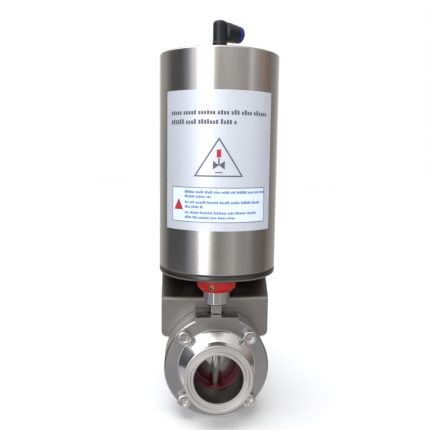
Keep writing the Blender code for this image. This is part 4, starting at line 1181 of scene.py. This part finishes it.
def make_print(radius):
    """Generic print only: bars for lines of text, a valve symbol and a framed note."""
    rng = random.Random(7)
    grey = word_row(rng, -51, 44.5, 189.8, 3.3, 1.9, 0.7)
    grey += word_row(rng, -51, 12, 183.5, 3.3, 1.9, 0.7)
    grey += triangle_lines((-3.3, 173.2), (-25.8, 146.6), (18.8, 146.6), 0.105)
    grey += [[(-8.5, 157.5), (-8.5, 151.5), (-3.3, 154.5)]]
    grey += [[(1.9, 151.5), (1.9, 157.5), (-3.3, 154.5)]]
    grey += [rectangle(-4.0, -2.6, 154.5, 159.0), rectangle(-6.5, -0.1, 149.2, 149.9)]
    red = [rectangle(-5.2, -1.4, 159.6, 165.0), [(-41.3, 131.3), (-46.7, 123.5), (-36.1, 123.5)]]
    grey += frame_lines(-49.3, 43.0, 115.2, 139.3, 0.45)
    blue = []
    for height, right in NOTE_ROWS:
        blue += word_row(rng, -34.6, right, height, 2.0, 1.05, 0.4)
    tint = [rectangle(-48.6, 42.3, 115.8, 138.7)]
    for ink_name, shapes in (("tint", tint), ("blue", blue), ("grey", grey), ("red", red)):
        under = radius if shapes is tint else radius + PRINT_THICKNESS
        mesh = wrapped(shapes, under, PRINT_THICKNESS)
        dressed(f"print_{ink_name}", mesh, f"ink_{ink_name}", "housing", sharp=60)


# Inside the actuator

SPRING_TURNS = 7
SPRING_WIRE = 2.3 * MM
SPRING_RADIUS = 30.0 * MM


def make_spring():
    """The return spring, an even helix between the ends of its CAD box; on the real valve it shortens as
    the piston comes down.
    """
    low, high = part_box("return_spring")
    bottom, top = low.z + SPRING_WIRE, high.z - SPRING_WIRE
    curve = bpy.data.curves.new("spring_wire", "CURVE")
    curve.dimensions = "3D"
    curve.bevel_depth = SPRING_WIRE
    curve.bevel_resolution = 5
    curve.use_fill_caps = True
    count = SPRING_TURNS * 36
    spline = curve.splines.new("POLY")
    spline.points.add(count)
    for step, point in enumerate(spline.points):
        share = step / count
        place = polar(SPRING_RADIUS, 2 * pi * SPRING_TURNS * share, bottom + share * (top - bottom))
        point.co = (*place, 1)
    coil = placed("coil", curve)
    bpy.context.view_layer.update()
    graph = bpy.context.evaluated_depsgraph_get()
    mesh = bpy.data.meshes.new_from_object(coil.evaluated_get(graph))
    bpy.data.objects.remove(coil, do_unlink=True)
    obj = piece("return_spring", mesh, "spring_steel", sharp=60)
    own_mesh(obj)


def repaint_hidden_nodes():
    """The pieces inside keep their CAD meshes and get the looks of their slots."""
    looks = {
        "inner_steel": ("piston_rod", "cross_pin", "piston_nut", "output_shaft", "guide_tube"),
        "aluminium": ("piston",),
        "bush_plastic": (
            "piston_guide_band",
            "shaft_bush",
            "thrust_washer",
            "stem_bush_lower",
            "stem_bush_upper",
        ),
        "black_rubber": ("piston_seal", "shaft_seal", "stem_seal", "elbow_o_ring", "tube_seal"),
    }
    for look, nodes in looks.items():
        for node in nodes:
            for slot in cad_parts[node].material_slots:
                slot.material = LOOKS[look]


# Stage, light and camera

FLOOR_SIZE = 6.0
BAND_GAIN = 3.0
EVEN_ROOM = (0.93, 0.96, 1.0, 1.0)
EVEN_LEVEL = 0.22
WHITE = (1.0, 1.0, 1.0, 1.0)

# What steel sees round the valve: degrees from the front, + to the right, and the light's
# colour and strength there. BANDS are level with the shell's top, FOOT_BANDS with its foot,
# and LOW_BANDS and HIGH_BANDS are below and above both.
BANDS = (
    (-180, 1.00, 1.00, 0.98), (-152, 0.50, 0.50, 0.46), (-124, 0.36, 0.36, 0.33),
    (-112, 0.18, 0.18, 0.17), (-100, 0.08, 0.08, 0.08), (-80, 0.06, 0.06, 0.065),
    (-70, 0.16, 0.16, 0.18), (-62, 0.40, 0.40, 0.46), (-55, 0.95, 0.95, 1.02),
    (-48, 1.20, 1.20, 1.25), (-42, 2.40, 2.40, 2.40), (-17, 2.40, 2.40, 2.40),
    (-12, 0.80, 0.78, 0.77), (-3, 0.54, 0.52, 0.51), (11, 0.62, 0.60, 0.59), (38, 0.48, 0.46, 0.45),
    (50, 0.46, 0.44, 0.43), (59, 0.80, 0.78, 0.77), (68, 0.52, 0.49, 0.48), (78, 0.42, 0.36, 0.34),
    (92, 0.36, 0.26, 0.22), (104, 0.24, 0.20, 0.18), (124, 0.32, 0.31, 0.29),
    (138, 0.46, 0.44, 0.42), (180, 1.00, 1.00, 0.98),
)
FOOT_BANDS = (
    (-180, 0.90, 0.90, 0.88), (-155, 0.52, 0.52, 0.48), (-134, 0.34, 0.34, 0.32),
    (-122, 0.20, 0.20, 0.19), (-112, 0.09, 0.09, 0.09), (-70, 0.08, 0.08, 0.085),
    (-60, 0.20, 0.20, 0.22), (-47, 0.42, 0.42, 0.45), (-41, 0.80, 0.80, 0.84),
    (-35, 2.40, 2.40, 2.40), (-25, 2.40, 2.40, 2.40), (-15, 0.70, 0.68, 0.66),
    (-7, 0.31, 0.30, 0.29), (1, 0.25, 0.24, 0.23), (12, 0.36, 0.35, 0.34), (27, 0.54, 0.52, 0.50),
    (36, 0.36, 0.35, 0.34), (58, 0.29, 0.28, 0.27), (75, 0.16, 0.15, 0.14), (100, 0.13, 0.12, 0.11),
    (112, 0.26, 0.24, 0.23), (135, 0.40, 0.38, 0.37), (160, 0.55, 0.54, 0.52),
    (180, 0.90, 0.90, 0.88),
)
LOW_BANDS = (
    (-180, 0.70, 0.70, 0.70), (-120, 0.60, 0.60, 0.64), (-70, 0.50, 0.50, 0.56),
    (-30, 0.34, 0.34, 0.36), (0, 0.62, 0.60, 0.59), (40, 0.66, 0.65, 0.66), (80, 0.44, 0.41, 0.40),
    (130, 0.60, 0.58, 0.58), (180, 0.70, 0.70, 0.70),
)
UNDERNEATH = (0.34, 0.34, 0.34)
HIGH_BANDS = (
    (-180, 0.90, 0.90, 0.90), (-130, 0.90, 0.90, 0.92), (-95, 2.40, 2.40, 2.45),
    (-20, 2.40, 2.40, 2.40), (10, 1.40, 1.38, 1.36), (60, 0.70, 0.67, 0.66),
    (120, 0.55, 0.52, 0.50), (180, 0.90, 0.90, 0.90),
)


def make_floor():
    """A wide pale floor just under the valve, finely speckled like matt board."""
    size = FLOOR_SIZE / 2
    work = bmesh.new()
    bmesh.ops.create_grid(work, x_segments=8, y_segments=8, size=size)
    bmesh.ops.translate(work, vec=(0, 0, cad_low.z - 0.4 * MM), verts=work.verts)
    floor = placed("floor", finished(work))
    look = Look("floor_look", Specular_IOR_Level=0.1)
    speckle = look.noise(look.place(), 700.0, 3.0)
    look.drive("Base Color", look.mix(speckle, (0.93, 0.93, 0.935), (0.90, 0.90, 0.905)))
    look.drive("Roughness", look.spread(speckle, 0.8, 0.95))
    look.bump(speckle, 0.02 * MM)
    floor.data.materials.append(look.material)
    floor.visible_glossy = False


def make_world():
    """White to the eye; metal sees soft upright bands, and matt surfaces an even room."""
    world = bpy.data.worlds.new("studio")
    bpy.context.scene.world = world
    world.use_nodes = True
    tree = world.node_tree
    tree.nodes.clear()
    build = Nodes(tree)
    x, y, z = build.parts(build.add("ShaderNodeTexCoord", output="Generated"))
    azimuth = build.math("ARCTAN2", x, build.math("MULTIPLY", y, -1.0))
    share = build.span(azimuth, -pi, pi, 0.0, 1.0)
    foot = band_ramp(tree, share, FOOT_BANDS)
    seen = build.mix(build.span(z, 0.14, -0.18, 0.0, 1.0), band_ramp(tree, share, BANDS), foot)
    low = band_ramp(tree, share, LOW_BANDS)
    high = band_ramp(tree, share, HIGH_BANDS)
    for start, end, colour in ((0.34, 0.46, high), (-0.29, -0.35, low), (-0.50, -0.80, UNDERNEATH)):
        seen = build.mix(build.span(z, start, end, 0.0, 1.0), seen, colour)
    ways = tree.nodes.new("ShaderNodeLightPath").outputs
    result = build.add("ShaderNodeBackground", {"Color": seen, "Strength": BAND_GAIN})
    diffuse, seen_directly = ("Is Diffuse Ray", EVEN_ROOM, EVEN_LEVEL), ("Is Camera Ray", WHITE, 1.0)
    for ray, colour, strength in (diffuse, seen_directly):
        other = build.add("ShaderNodeBackground", {"Color": colour, "Strength": strength})
        result = build.add("ShaderNodeMixShader", {0: ways[ray], 1: result, 2: other})
    output = tree.nodes.new("ShaderNodeOutputWorld")
    tree.links.new(result, output.inputs["Surface"])


def band_ramp(tree, share, bands):
    ramp = tree.nodes.new("ShaderNodeValToRGB")
    elements = ramp.color_ramp.elements
    while len(elements) < len(bands):
        elements.new(0.5)
    for element, (degrees, *colour) in zip(elements, bands):
        element.position = (degrees + 180) / 360
        element.color = (*(value / BAND_GAIN for value in colour), 1.0)
    tree.links.new(share, ramp.inputs[0])
    return ramp.outputs[0]


def add_sun(name, azimuth, elevation, strength, spread):
    """A soft distant light. Azimuth is in degrees from the front, + to the right."""
    data = bpy.data.lights.new(name, "SUN")
    data.energy = strength
    data.angle = radians(spread)
    light = placed(name, data)
    turn, rise = radians(azimuth), radians(elevation)
    source = Vector((sin(turn) * cos(rise), -cos(turn) * cos(rise), sin(rise)))
    light.rotation_euler = source.to_track_quat("Z", "Y").to_euler()
    light.visible_glossy = False


def make_lights():
    add_sun("front_light", -6, 14, 2.5, 40)
    add_sun("top_light", -30, 78, 2.4, 50)


CAMERA_PLACE = Vector((-27.41, -401.31, 161.38)) * MM
CAMERA_AIM = Vector((0.06308, 0.99160, -0.11289))
CAMERA_ROLL = 0.0134
SENSOR = 36.0
LENS = 44.32


def make_camera():
    data = bpy.data.cameras.new("camera")
    data.sensor_width = SENSOR
    data.lens = LENS
    data.clip_start = 0.01
    camera = placed("camera", data)
    turn = CAMERA_AIM.to_track_quat("-Z", "Y").to_matrix().to_4x4()
    place, roll = Matrix.Translation(CAMERA_PLACE), Matrix.Rotation(CAMERA_ROLL, 4, "Z")
    camera.matrix_world = place @ turn @ roll
    bpy.context.scene.camera = camera


make_camera()
make_shell()
make_bottom_cover()
make_cover_screws()
make_bracket()
make_body_halves()
make_seat()
make_disc()
make_bolts()
make_coupling()
make_indicator()
make_stud()
make_elbow()
make_label()
make_spring()
repaint_hidden_nodes()
make_floor()
make_world()
make_lights()
bpy.context.scene.view_settings.view_transform = "Standard"
